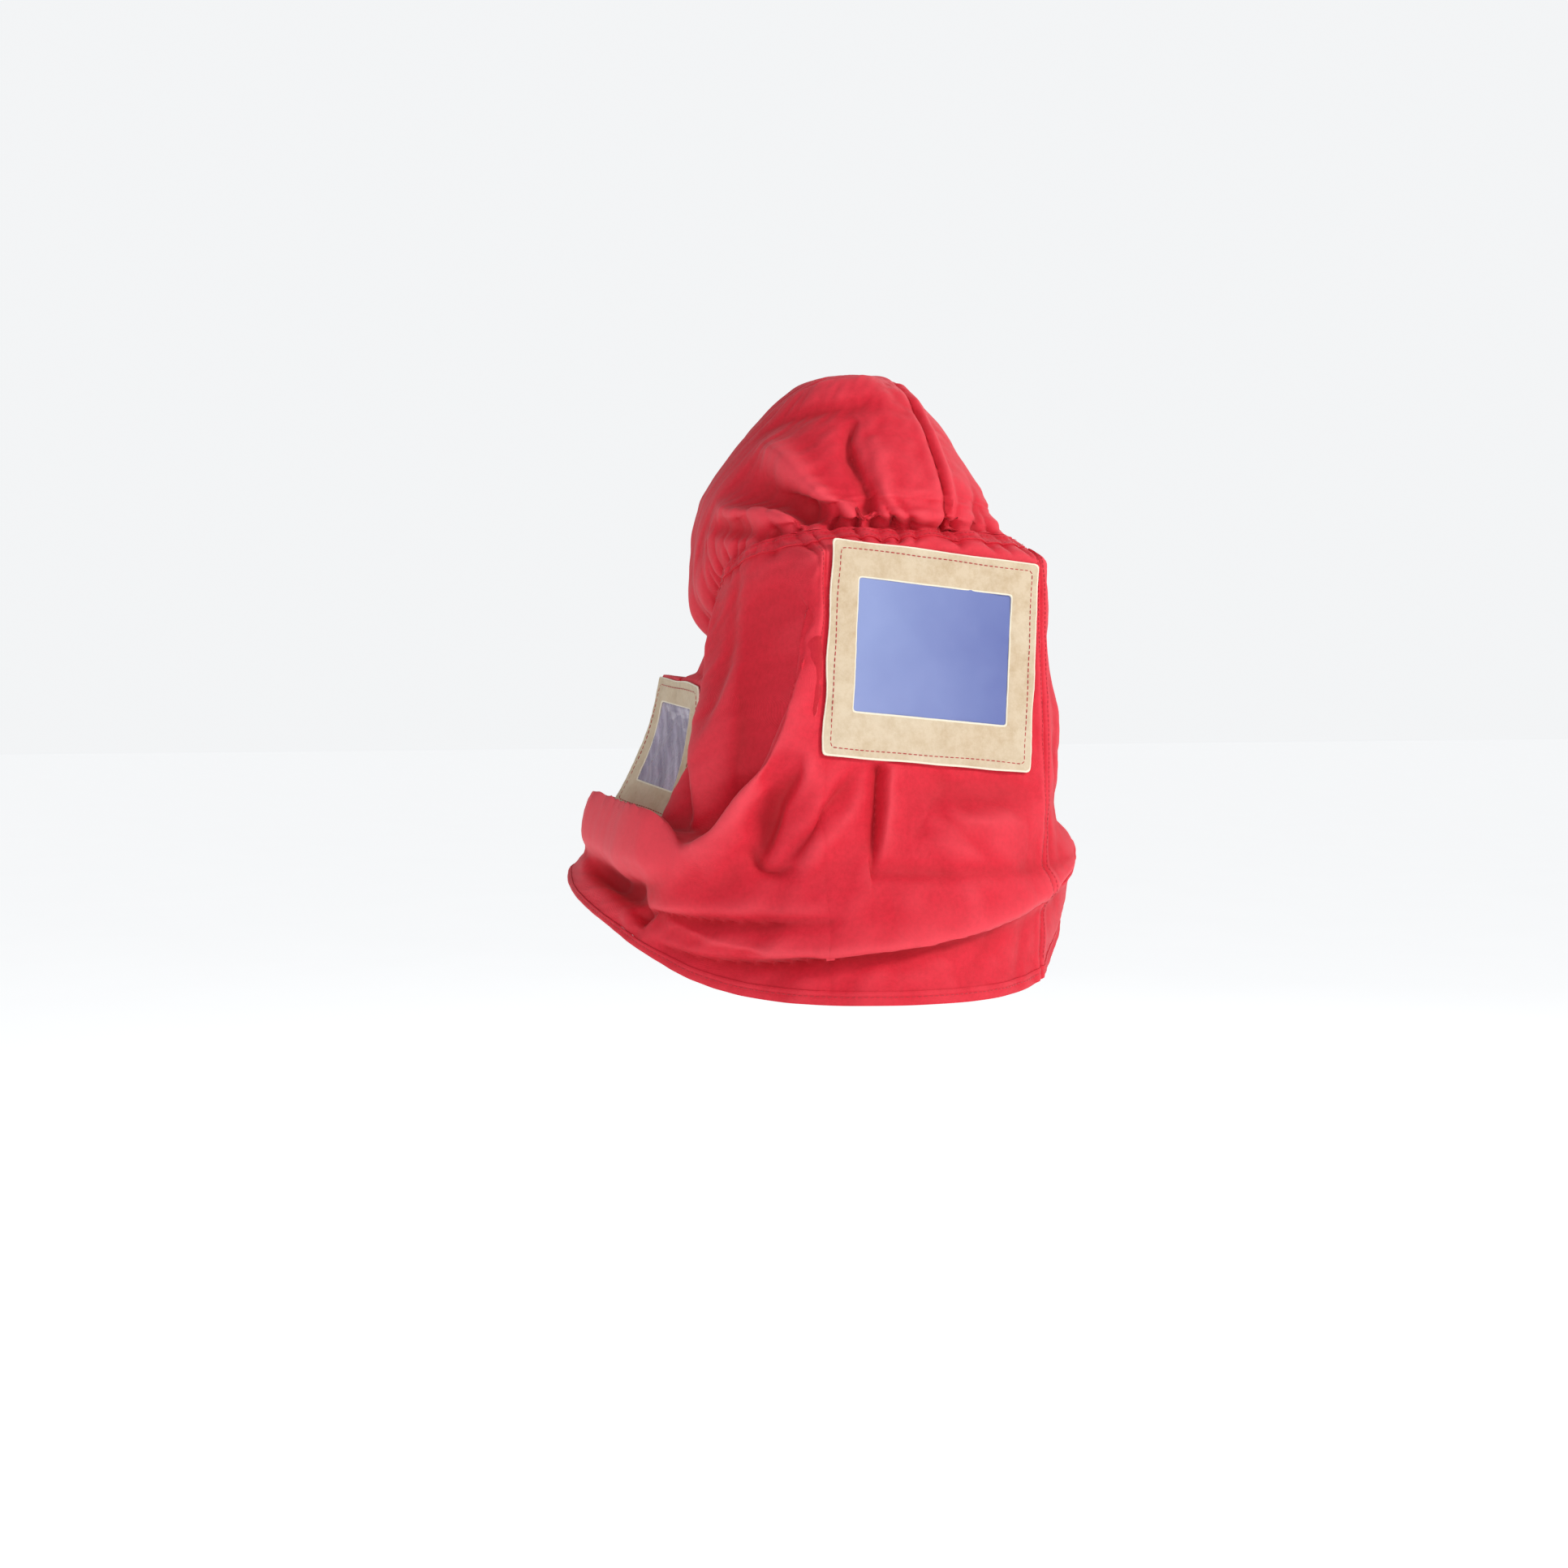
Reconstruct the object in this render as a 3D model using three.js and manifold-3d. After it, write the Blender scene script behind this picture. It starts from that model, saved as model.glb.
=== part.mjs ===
// A cloth sandblasting hood, shaped as it hangs when it is worn. A puffed cap is drawn in by an elastic
// casing, and below it sewn walls hang to the shoulders, with a large framed window in front and a small
// one on the wearer's right. Millimetres and degrees, +Z up. The front faces -Y, the wearer's right is -X.
// The origin is the inside of the cap's top, where a head holds the hood up.
import * as THREE from "three";
import { mergeVertices } from "three/addons/utils/BufferGeometryUtils.js";
import Module from "manifold-3d";

// Cloth, the gap between neighbouring pieces, and the wider one above the thick hem
const clothWall = 1.6;
const clearance = 0.3;
const hemGap = 0.7;

// Drop from the origin to the hem, at the front, the front corner, the shoulder, behind it and the back
const frontDrop = 493;
const cornerDrop = 486;
const shoulderDrop = 438;
const hindDrop = 408;
const backDrop = 470;

// Reach of the hem from the vertical axis, at the same places
const frontReach = 205;
const cornerReach = 186;
const shoulderReach = 205;
const hindReach = 242;
const backReach = 200;

// The head is turned a little, so the skirt stays this far behind the window
const skirtTurn = -12;

// Cap. Its seam from front to back lies a little to the wearer's left of the middle.
const capSeamShift = 22;
const capWidth = 226;
const capLength = 290;
const domeDrop = 98;
const capLead = 14;
const rimLift = 0.8;
const puckerDepth = 3.2;
const puckerCount = 20;

// Elastic casing, laid on the outside of the walls, and the turned hem
const casingStart = 3;
const casingHeight = 9;
const hemHeight = 12;
const hemProud = 0.6;
const hemWall = 2.8;

// Folds of the cloth are shares of these
const foldDepth = 30;
const foldWidth = 30;

// Front window
const windowReach = 157;
const windowDrop = 231;
const windowPitch = 4;
const windowRoll = 5;
const frameWidth = 183;
const frameHeight = 166;
const frameWall = 2.4;
const openingWidth = 134;
const openingHeight = 102;
const openingRaise = 4;
const lensLap = 9;
const lensWall = 0.9;
const seamOffset = 9;
const clothLap = 3;

// Side window
const sideWindowReach = 142;
const sideWindowAzimuth = -113;
const sideWindowDrop = 305;
const sideWindowTurn = -90;
const sideWindowLean = 15;
const sideWindowRoll = 6;
const sideWindowBend = 240;
const sideWindowTwist = 640;
const sideFrameWidth = 112;
const sideFrameHeight = 114;
const sideFrameWall = 2.2;
const sideOpeningWidth = 72;
const sideOpeningHeight = 68;
const sideOpeningRaise = 3;
const filmLap = 8;
const filmWall = 0.8;

// How far the cloth stays flat beside, and above and below, each window frame, and how far it takes to
// leave it
const frontSeat = { beside: 3, over: 11, fade: 22 };
const sideSeat = { beside: 6, over: 9, fade: 14 };

const degrees = Math.PI / 180;

// Rows of a table as objects with named columns
function table(columns, rows) {
  return Object.entries(rows).map(([name, values]) => {
    const row = { name };
    columns.forEach((column, index) => {
      row[column] = values[index];
    });
    return row;
  });
}

// Sections of the hanging walls, from the gather down to the hem. Columns named for a place are the reach
// there and columns that start with fall are the drop, each as a share of the hem's own at that place.
const sectionColumns = ["along", "front", "corner", "side", "hind", "back"];
const fallColumns = ["fallFront", "fallCorner", "fallSide", "fallHind", "fallBack"];
const wallSections = table([...sectionColumns, ...fallColumns], {
  gather: [0.0, 0.66, 0.79, 0.53, 0.42, 0.5, 0.267, 0.282, 0.404, 0.55, 0.5],
  brow: [0.07, 0.712, 0.83, 0.546, 0.43, 0.56, 0.294, 0.325, 0.44, 0.592, 0.53],
  eye: [0.22, 0.761, 0.87, 0.595, 0.537, 0.65, 0.415, 0.444, 0.53, 0.66, 0.59],
  chin: [0.44, 0.79, 1.0, 0.644, 0.58, 0.62, 0.592, 0.602, 0.667, 0.735, 0.664],
  neck: [0.6, 0.845, 1.02, 0.722, 0.685, 0.7, 0.71, 0.714, 0.772, 0.821, 0.749],
  shoulder: [0.75, 0.917, 1.0, 0.868, 0.88, 0.84, 0.82, 0.822, 0.875, 0.897, 0.84],
  skirt: [0.88, 0.961, 1.0, 0.956, 0.94, 0.94, 0.92, 0.92, 0.95, 0.956, 0.928],
  hem: [1.0, 1.0, 1.0, 1.0, 1.0, 1.0, 1.0, 1.0, 1.0, 1.0, 1.0],
});
const placeAzimuths = [0, 45, 90, 125, 180];
const reachSizes = {
  front: frontReach,
  corner: cornerReach,
  side: shoulderReach,
  hind: hindReach,
  back: backReach,
};
const fallSizes = {
  fallFront: frontDrop,
  fallCorner: cornerDrop,
  fallSide: shoulderDrop,
  fallHind: hindDrop,
  fallBack: backDrop,
};

// Meridian of the cap, from its top to the elastic. dome is a share of domeDrop, skirt a share of what is
// left down to the elastic, reach a share of the cap's own reach, and lead a share of capLead.
const capSections = table(["along", "dome", "skirt", "reach", "lead"], {
  top: [0.0, 0.0, 0.0, 0.0, 1.0],
  crest: [0.12, 0.03, 0.0, 0.24, 0.95],
  brim: [0.26, 0.16, 0.0, 0.44, 0.85],
  slope: [0.4, 0.38, 0.0, 0.62, 0.6],
  flank: [0.54, 0.66, 0.0, 0.8, 0.3],
  belly: [0.68, 1.0, 0.02, 0.97, 0.0],
  low: [0.82, 1.0, 0.45, 1.02, -0.3],
  tuck: [0.93, 1.0, 0.85, 1.04, -0.2],
  rim: [1.0, 1.0, 1.0, 0.88, 0.0],
});

// Folds run from (a0, s0) through (a1, s1) to (a2, s2), each an azimuth and a share along the wall. rise
// and lean are shares of foldDepth, near and far the widths on the two sides as shares of foldWidth, and
// start and end the height at the two ends as a share of the rise.
const foldColumns = ["a0", "s0", "a1", "s1", "a2", "s2", "rise", "near", "far", "lean", "start", "end"];
const wallFolds = table(foldColumns, {
  frontEdge: [-36, 0.2, -41, 0.45, -71, 0.66, 0.42, 1.3, 0.6, 0.3, 0.2, 0.5],
  frontValley: [-52, 0.12, -55, 0.38, -69, 0.58, -0.75, 0.7, 0.8, 0.0, 0.1, 0.2],
  curtain: [-78, 0.04, -86, 0.25, -78, 0.52, 0.3, 0.6, 0.6, 0.1, 0.1, 0.3],
  napeFlap: [-96, 0.1, -112, 0.12, -130, 0.14, -0.3, 0.5, 0.5, 0.0, 0.5, 0.5],
  roll: [-62, 0.655, -92, 0.745, -132, 0.735, 0.6, 0.9, 0.55, 0.3, 0.5, 0.7],
  rollUnder: [-78, 0.86, -96, 0.84, -118, 0.82, -0.35, 0.5, 0.5, 0.0, 0.1, 0.4],
  finger: [-36, 0.46, -40, 0.58, -47, 0.72, -0.28, 0.5, 0.5, 0.0, 0.1, 0.1],
  fingerSide: [-30, 0.52, -32, 0.62, -38, 0.74, 0.16, 0.5, 0.5, 0.0, 0.1, 0.1],
  dart: [-15, 0.49, -16, 0.6, -18, 0.7, -0.16, 0.45, 0.5, 0.0, 0.2, 0.0],
  chest: [-4, 0.6, 6, 0.66, 24, 0.66, 0.22, 1.2, 1.2, 0.0, 0.1, 0.1],
  skirtLip: [-78, 0.83, -20, 0.87, 54, 0.79, 0.26, 1.0, 0.6, 0.2, 0.2, 0.6],
  skirtCrease: [-76, 0.92, -20, 0.95, 54, 0.865, -0.22, 0.5, 0.7, 0.0, 0.2, 0.4],
  leftShoulder: [40, 0.74, 76, 0.72, 118, 0.74, 0.68, 0.9, 1.1, 0.0, 0.2, 0.2],
  leftHem: [34, 0.97, 62, 1.0, 96, 0.97, -0.45, 1.1, 0.6, 0.0, 0.2, 0.2],
  backRight: [-150, 0.1, -156, 0.4, -146, 0.75, 0.3, 0.7, 0.7, 0.0, 0.1, 0.3],
  backLeft: [146, 0.1, 158, 0.4, 150, 0.75, 0.3, 0.7, 0.7, 0.0, 0.1, 0.3],
  backMiddle: [180, 0.15, 182, 0.45, 178, 0.8, -0.3, 0.8, 0.8, 0.0, 0.1, 0.3],
  leftSide: [96, 0.06, 88, 0.3, 70, 0.6, 0.32, 0.7, 0.7, 0.0, 0.2, 0.1],
  leftValley: [76, 0.1, 66, 0.35, 56, 0.6, -0.3, 0.6, 0.6, 0.0, 0.1, 0.1],
});
const capFolds = table(foldColumns, {
  seamCrease: [30, 0.25, -12, 0.57, 17, 0.97, -0.2, 0.3, 0.25, 0.0, 0.2, 0.6],
  seamRidge: [40, 0.3, -2, 0.57, 26, 0.95, 0.16, 0.3, 0.3, 0.0, 0.1, 0.4],
  hookCrease: [-26, 0.44, -30, 0.74, -15, 0.96, -0.2, 0.3, 0.35, 0.0, 0.1, 0.5],
  upperRidge: [-72, 0.53, -29, 0.555, -22, 0.94, 0.2, 0.4, 0.45, 0.0, 0.1, 0.3],
  sideValley: [-80, 0.62, -40, 0.75, -29, 0.96, -0.16, 0.4, 0.4, 0.0, 0.1, 0.4],
  lowerRidge: [-88, 0.71, -45, 0.88, -36, 0.98, 0.2, 0.35, 0.4, 0.0, 0.1, 0.3],
  crestLine: [-84, 0.42, -28, 0.27, 14, 0.24, 0.1, 0.6, 0.6, 0.0, 0.1, 0.1],
  leftFlat: [64, 0.3, 64, 0.45, 64, 0.64, -0.4, 1.1, 1.1, 0.0, 0.3, 0.3],
  backRidge: [-150, 0.5, -150, 0.7, -146, 0.96, 0.16, 0.6, 0.6, 0.0, 0.1, 0.3],
  backValley: [-174, 0.55, -176, 0.75, -170, 0.97, -0.16, 0.6, 0.6, 0.0, 0.1, 0.4],
  leftRidge: [96, 0.6, 86, 0.78, 80, 0.97, 0.16, 0.6, 0.6, 0.0, 0.1, 0.3],
});

// Smooth curve through (at[i], value[i]). Its ends are level if level is true.
function through(at, value, x, level) {
  const last = at.length - 1;
  if (x <= at[0]) return value[0];
  if (x >= at[last]) return value[last];
  let i = 0;
  while (x > at[i + 1]) i += 1;
  const slope = (k) => (value[k + 1] - value[k]) / (at[k + 1] - at[k]);
  const tangent = (k) => {
    if (k === 0) return level ? 0 : slope(0);
    if (k === last) return level ? 0 : slope(last - 1);
    const before = at[k] - at[k - 1];
    const after = at[k + 1] - at[k];
    return (slope(k - 1) * after + slope(k) * before) / (before + after);
  };
  const span = at[i + 1] - at[i];
  const t = (x - at[i]) / span;
  const low = value[i] * (1 + 2 * t) * (1 - t) ** 2 + value[i + 1] * t * t * (3 - 2 * t);
  return low + span * t * (1 - t) * (tangent(i) * (1 - t) - tangent(i + 1) * t);
}

function smoothStep(x) {
  const t = Math.min(1, Math.max(0, x));
  return t * t * (3 - 2 * t);
}

// Unit vector at an azimuth, 0 to the front and positive towards the wearer's left
function heading(azimuth) {
  return new THREE.Vector3(Math.sin(azimuth * degrees), -Math.cos(azimuth * degrees), 0);
}

// Value round the hood of one section, from its columns and the sizes that they are shares of
function roundHood(row, sizes, azimuth) {
  const value = Object.keys(sizes).map((name) => row[name] * sizes[name]);
  return through(placeAzimuths, value, Math.abs(wrap(azimuth)), true);
}

function wrap(azimuth) {
  return azimuth - 360 * Math.round(azimuth / 360);
}

const wallAlongs = wallSections.map((row) => row.along);
const turnStart = 0.25;
const turnEnd = 0.7;

function wallBase(azimuth, along) {
  const turned = azimuth - skirtTurn * smoothStep((along - turnStart) / (turnEnd - turnStart));
  const reaches = wallSections.map((row) => roundHood(row, reachSizes, turned));
  const falls = wallSections.map((row) => roundHood(row, fallSizes, turned));
  const reach = through(wallAlongs, reaches, along, false);
  return heading(azimuth).multiplyScalar(reach).setZ(-through(wallAlongs, falls, along, false));
}

// Normal of a surface at a point, pointing out of the hood
function normalOf(surface, azimuth, along) {
  const aStep = 0.6;
  const sStep = 0.004;
  const low = Math.max(0, along - sStep);
  const high = Math.min(1, along + sStep);
  const across = surface(azimuth + aStep, along).sub(surface(azimuth - aStep, along));
  const down = surface(azimuth, high).sub(surface(azimuth, low));
  return down.cross(across).normalize();
}

// Nearest point of a fold to a place on the chart, as its share along the fold and its signed distance
const foldSteps = 16;
function nearestOnFold(fold, x, y, mmPerDegree, mmPerAlong) {
  const place = (t) => {
    const [p, q, r] = [(1 - t) ** 2, 2 * t * (1 - t), t * t];
    return [
      (p * fold.a0 + q * fold.a1 + r * fold.a2) * mmPerDegree,
      (p * fold.s0 + q * fold.s1 + r * fold.s2) * mmPerAlong,
    ];
  };
  let best = { squared: Infinity };
  for (let k = 0; k < foldSteps; k += 1) {
    const [x0, y0] = place(k / foldSteps);
    const [x1, y1] = place((k + 1) / foldSteps);
    const [dx, dy] = [x1 - x0, y1 - y0];
    const t = Math.min(1, Math.max(0, ((x - x0) * dx + (y - y0) * dy) / (dx * dx + dy * dy)));
    const [ox, oy] = [x - x0 - t * dx, y - y0 - t * dy];
    const squared = ox * ox + oy * oy;
    if (squared < best.squared) {
      const length = Math.hypot(dx, dy);
      const side = Math.sign(dx * oy - dy * ox);
      best = { squared, side, share: (k + t) / foldSteps, around: -dy / length, down: dx / length };
    }
  }
  return best;
}

// A surface with its folds: each slides the cloth across the fold by its lean and lifts it by its rise
function folded(base, folds, mmPerDegree, mmPerAlong) {
  return (azimuth, along) => {
    const a = wrap(azimuth);
    let [rise, around, down] = [0, 0, 0];
    for (const fold of folds) {
      const x = (fold.a1 + wrap(a - fold.a1)) * mmPerDegree;
      const near = nearestOnFold(fold, x, along * mmPerAlong, mmPerDegree, mmPerAlong);
      const width = foldWidth * (near.side < 0 ? fold.near : fold.far);
      const t = near.share;
      const swell = 4 * t * (1 - t) + fold.start * (1 - t) ** 2 + fold.end * t * t;
      const size = foldDepth * Math.min(1, swell) * Math.exp(-near.squared / (width * width));
      rise += fold.rise * size;
      around += fold.lean * size * near.around;
      down += fold.lean * size * near.down;
    }
    const at = [a + around / mmPerDegree, Math.min(1, Math.max(0, along + down / mmPerAlong))];
    return base(...at).addScaledVector(normalOf(base, ...at), rise);
  };
}

// Waves that the elastic draws into the cloth, even enough to count and never quite alike
function pucker(azimuth) {
  const turn = azimuth * degrees;
  return 0.7 * Math.cos(puckerCount * turn) + 0.3 * Math.cos((puckerCount / 2) * turn + 1);
}

// Frame of a window: its centre, the normal out of the hood, and the directions across and up it
function windowFrame(centre, turn, pitch, roll) {
  const out = heading(turn).multiplyScalar(Math.cos(pitch * degrees)).setZ(Math.sin(pitch * degrees));
  const level = heading(turn + 90);
  const upright = new THREE.Vector3().crossVectors(level, out.clone()).negate();
  const across = level.clone().multiplyScalar(Math.cos(roll * degrees));
  across.addScaledVector(upright, -Math.sin(roll * degrees));
  const up = upright.clone().multiplyScalar(Math.cos(roll * degrees));
  up.addScaledVector(level, Math.sin(roll * degrees));
  return { centre, out, across, up };
}

const frontWindow = windowFrame(
  new THREE.Vector3(0, -windowReach, -windowDrop),
  0,
  windowPitch,
  windowRoll,
);
Object.assign(frontWindow, { width: frameWidth, height: frameHeight, bend: 0, twist: 0, seat: frontSeat });
const sideWindow = windowFrame(
  heading(sideWindowAzimuth).multiplyScalar(sideWindowReach).setZ(-sideWindowDrop),
  sideWindowTurn,
  sideWindowLean,
  sideWindowRoll,
);
Object.assign(sideWindow, {
  width: sideFrameWidth,
  height: sideFrameHeight,
  bend: 1 / sideWindowBend,
  twist: 1 / sideWindowTwist,
  seat: sideSeat,
});

// Height of a window's seat over its own plane. The side frame is bent out above and below its middle and
// twisted with the cloth.
function seatHeight(frame, a, b) {
  return (frame.bend * b * b) / 2 + frame.twist * a * b;
}

// Cloth point laid flat on the seat of a window by a share, fading out round the frame
function laidOn(frame, point, share) {
  const from = point.clone().sub(frame.centre);
  const [a, b, c] = [from.dot(frame.across), from.dot(frame.up), from.dot(frame.out)];
  const beyondA = Math.max(0, Math.abs(a) - frame.width / 2 - frame.seat.beside);
  const beyondB = Math.max(0, Math.abs(b) - frame.height / 2 - frame.seat.over);
  const hold = share * (1 - smoothStep(Math.hypot(beyondA, beyondB) / frame.seat.fade));
  const near = 1 - smoothStep((Math.abs(c) - 2 * foldWidth) / foldWidth);
  return point.addScaledVector(frame.out, (seatHeight(frame, a, b) - c) * hold * near);
}

const mmPerDegree = 3;
const wallLength = frontDrop - 0.25 * frontDrop;
const wallFolded = folded(wallBase, wallFolds, mmPerDegree, wallLength);
const puckerReach = 0.035;
const seatStart = 0.075;

function wallSurface(azimuth, along) {
  const point = wallFolded(azimuth, along);
  const wave = puckerDepth * pucker(azimuth) * Math.exp(-along / puckerReach);
  point.addScaledVector(heading(azimuth), wave);
  const belowGather = smoothStep(along / seatStart);
  return laidOn(sideWindow, laidOn(frontWindow, point, belowGather), belowGather);
}

// Cap: an egg-shaped bag whose lower edge is the elastic's own line
const capAlongs = capSections.map((row) => row.along);

function capBase(azimuth, along) {
  const column = (name) => through(capAlongs, capSections.map((row) => row[name]), along, false);
  const rim = wallFolded(azimuth, 0);
  const rimDrop = -rim.z - rimLift;
  const dir = heading(azimuth);
  const egg = 1 / Math.hypot((2 * dir.x) / capWidth, (2 * dir.y) / capLength);
  const drop = column("dome") * domeDrop + column("skirt") * (rimDrop - domeDrop);
  const point = dir.clone().multiplyScalar(column("reach") * egg);
  point.y -= column("lead") * capLead;
  point.z = clothWall * (1 - column("dome")) - drop;
  const toRim = smoothStep((along - capAlongs[5]) / (1 - capAlongs[5])) ** 4;
  const rimPoint = new THREE.Vector3(rim.x, rim.y, point.z);
  return point.lerp(rimPoint, toRim);
}

const capFolded = folded(capBase, capFolds, 2, 200);
const capPuckerReach = 0.12;

function capSurface(azimuth, along) {
  const point = capFolded(azimuth, along);
  const wave = puckerDepth * pucker(azimuth) * Math.exp((along - 1) / capPuckerReach);
  point.addScaledVector(heading(azimuth), wave);
  return point;
}

// Closed wall over a surface: its outer and inner skins, offset by outside and inside, and its rims.
// A wall with a pole starts in one point.
function wallGeometry(surface, azimuths, alongs, outside, inside, pole) {
  const [across, down] = [azimuths.length, alongs.length];
  const positions = [];
  const skins = [outside, -inside].map((offset) => {
    const rows = alongs.map((along, j) =>
      azimuths.map((azimuth) => {
        if (pole && j === 0) return undefined;
        const point = surface(azimuth, along).addScaledVector(normalOf(surface, azimuth, along), offset);
        positions.push(point.x, point.y, point.z);
        return positions.length / 3 - 1;
      }),
    );
    if (pole) {
      const top = surface(azimuths[0], alongs[0]);
      positions.push(top.x, top.y, top.z + offset);
      rows[0].fill(positions.length / 3 - 1);
    }
    return rows;
  });
  const faces = [];
  const triangle = (a, b, c) => {
    if (a !== b && b !== c && c !== a) faces.push(a, b, c);
  };
  const quad = (a, b, c, d) => {
    triangle(a, b, c);
    triangle(a, c, d);
  };
  const [outer, inner] = skins;
  for (let i = 0; i < across; i += 1) {
    const k = (i + 1) % across;
    for (let j = 0; j + 1 < down; j += 1) {
      quad(outer[j][i], outer[j + 1][i], outer[j + 1][k], outer[j][k]);
      quad(inner[j + 1][k], inner[j + 1][i], inner[j][i], inner[j][k]);
    }
    if (!pole) quad(outer[0][i], outer[0][k], inner[0][k], inner[0][i]);
    const last = down - 1;
    quad(outer[last][k], outer[last][i], inner[last][i], inner[last][k]);
  }
  const geometry = new THREE.BufferGeometry();
  geometry.setAttribute("position", new THREE.Float32BufferAttribute(positions, 3));
  geometry.setIndex(faces);
  return geometry;
}

// Moves even steps closer together round a centre, by a share of their spacing, over a period
function crowded(x, centre, period, share) {
  return x - ((share * period) / (2 * Math.PI)) * Math.sin((2 * Math.PI * (x - centre)) / period);
}

// The grid's columns lie closer on the wearer's right front, where the deep folds are
const columnCount = 66;
const columnCrowding = 0.28;
const crowdedAzimuth = -62;
const columns = Array.from({ length: columnCount }, (_, k) =>
  wrap(crowded((360 * k) / columnCount, crowdedAzimuth, 360, columnCrowding)),
);
function rowsBetween(start, end, count) {
  return Array.from({ length: count + 1 }, (_, k) => start + ((end - start) * k) / count);
}

const wasm = await Module();
wasm.setup();

function solidOf(geometry) {
  const bare = geometry.clone();
  bare.deleteAttribute("normal");
  bare.deleteAttribute("uv");
  const merged = mergeVertices(bare, 1e-4);
  return new wasm.Manifold(
    new wasm.Mesh({
      numProp: 3,
      vertProperties: merged.attributes.position.array,
      triVerts: new Uint32Array(merged.index.array),
    }),
  );
}

function geometryOf(solid) {
  const mesh = solid.getMesh();
  const geometry = new THREE.BufferGeometry();
  geometry.setAttribute("position", new THREE.BufferAttribute(mesh.vertProperties, 3));
  geometry.setIndex(new THREE.BufferAttribute(mesh.triVerts, 1));
  geometry.computeVertexNormals();
  return geometry;
}

// Block between two corners
function block(low, high) {
  const geometry = new THREE.BoxGeometry(high.x - low.x, high.y - low.y, high.z - low.z);
  geometry.translate((low.x + high.x) / 2, (low.y + high.y) / 2, (low.z + high.z) / 2);
  return solidOf(geometry);
}

// Slab on a window's seat: width by height, its middle raised by raise, from near to near + wall over the
// seat, following the seat's bend in steps
function slab(frame, width, height, raise, near, wall) {
  const steps = frame.bend > 0 ? 4 : 1;
  const geometry = new THREE.BoxGeometry(width, height, wall, steps, steps, 1);
  const places = geometry.attributes.position;
  for (let k = 0; k < places.count; k += 1) {
    const [a, b] = [places.getX(k), places.getY(k) + raise];
    const c = places.getZ(k) + near + wall / 2 + seatHeight(frame, a, b);
    const point = frame.centre.clone().addScaledVector(frame.across, a);
    point.addScaledVector(frame.up, b).addScaledVector(frame.out, c);
    places.setXYZ(k, point.x, point.y, point.z);
  }
  return solidOf(geometry);
}

const reachOut = 400;
const cutDepth = 24;
const hemStart = 1 - hemHeight / wallLength;
const panelEnd = hemStart - hemGap / wallLength;
const bandRows = [casingStart / wallLength, (casingStart + casingHeight) / wallLength];
const rowCount = 15;
const rowCrowding = 0.35;
const crowdedAlong = 0.56;
const rowShare = (t) => crowded(t, crowdedAlong, 1, rowCrowding) - crowded(0, crowdedAlong, 1, rowCrowding);
const wallRows = [
  0,
  bandRows[0],
  ...rowsBetween(0, 1, rowCount).map((t) => bandRows[1] + (panelEnd - bandRows[1]) * rowShare(t)),
];

// Hole through the cloth behind a window's opening
function clothHole(frame, width, height, raise) {
  const [wide, high] = [width + 2 * clothLap, height + 2 * clothLap];
  return slab(frame, wide, high, raise, -cutDepth / 2, cutDepth);
}

// Block that holds everything between two planes across X and two across Y
function between(x0, x1, y0, y1) {
  return block(new THREE.Vector3(x0, y0, -2 * reachOut), new THREE.Vector3(x1, y1, reachOut));
}

// Walls, holed for the windows and cut at the seams: one on each side of the front window, one at the back
function buildPanels() {
  const whole = solidOf(wallGeometry(wallSurface, columns, wallRows, 0, clothWall, false))
    .subtract(clothHole(frontWindow, openingWidth, openingHeight, openingRaise))
    .subtract(clothHole(sideWindow, sideOpeningWidth, sideOpeningHeight, sideOpeningRaise));
  const seam = frameWidth / 2 + seamOffset;
  const behind = -40;
  const gap = clearance / 2;
  return {
    front_panel: whole.intersect(between(-seam, seam, -reachOut, behind)),
    right_panel: whole.intersect(
      between(-reachOut, -seam - clearance, -reachOut, reachOut).add(
        between(-seam - 2 * clearance, -gap, behind + clearance, reachOut),
      ),
    ),
    left_panel: whole.intersect(
      between(seam + clearance, reachOut, -reachOut, reachOut).add(
        between(gap, seam + 2 * clearance, behind + clearance, reachOut),
      ),
    ),
  };
}

// Cap, cut at its seam
function buildCrowns() {
  const whole = solidOf(wallGeometry(capSurface, columns, rowsBetween(0, 1, 10), 0, clothWall, true));
  const gap = clearance / 2;
  return {
    crown_right: whole.intersect(between(-reachOut, capSeamShift - gap, -reachOut, reachOut)),
    crown_left: whole.intersect(between(capSeamShift + gap, reachOut, -reachOut, reachOut)),
  };
}

function buildBand() {
  return solidOf(
    wallGeometry(wallSurface, columns, bandRows, clearance + clothWall, -clearance, false),
  );
}

function buildHem() {
  const rows = rowsBetween(hemStart, 1, 1);
  return solidOf(wallGeometry(wallSurface, columns, rows, hemProud, hemWall - hemProud, false));
}

// Window frame with its opening and, from behind, the pocket that its pane lies in
function buildFrame(frame, wall, opening, lap, pane) {
  const { width, height, raise } = opening;
  const pocket = [width + 2 * lap + 2 * clearance, height + 2 * lap + 2 * clearance];
  return slab(frame, frame.width, frame.height, 0, clearance, wall)
    .subtract(slab(frame, width, height, raise, -wall, 4 * wall))
    .subtract(slab(frame, ...pocket, raise, -wall, wall + pane + 3 * clearance));
}

function buildPane(frame, opening, lap, pane) {
  const { width, height, raise } = opening;
  return slab(frame, width + 2 * lap, height + 2 * lap, raise, 2 * clearance, pane);
}

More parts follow.
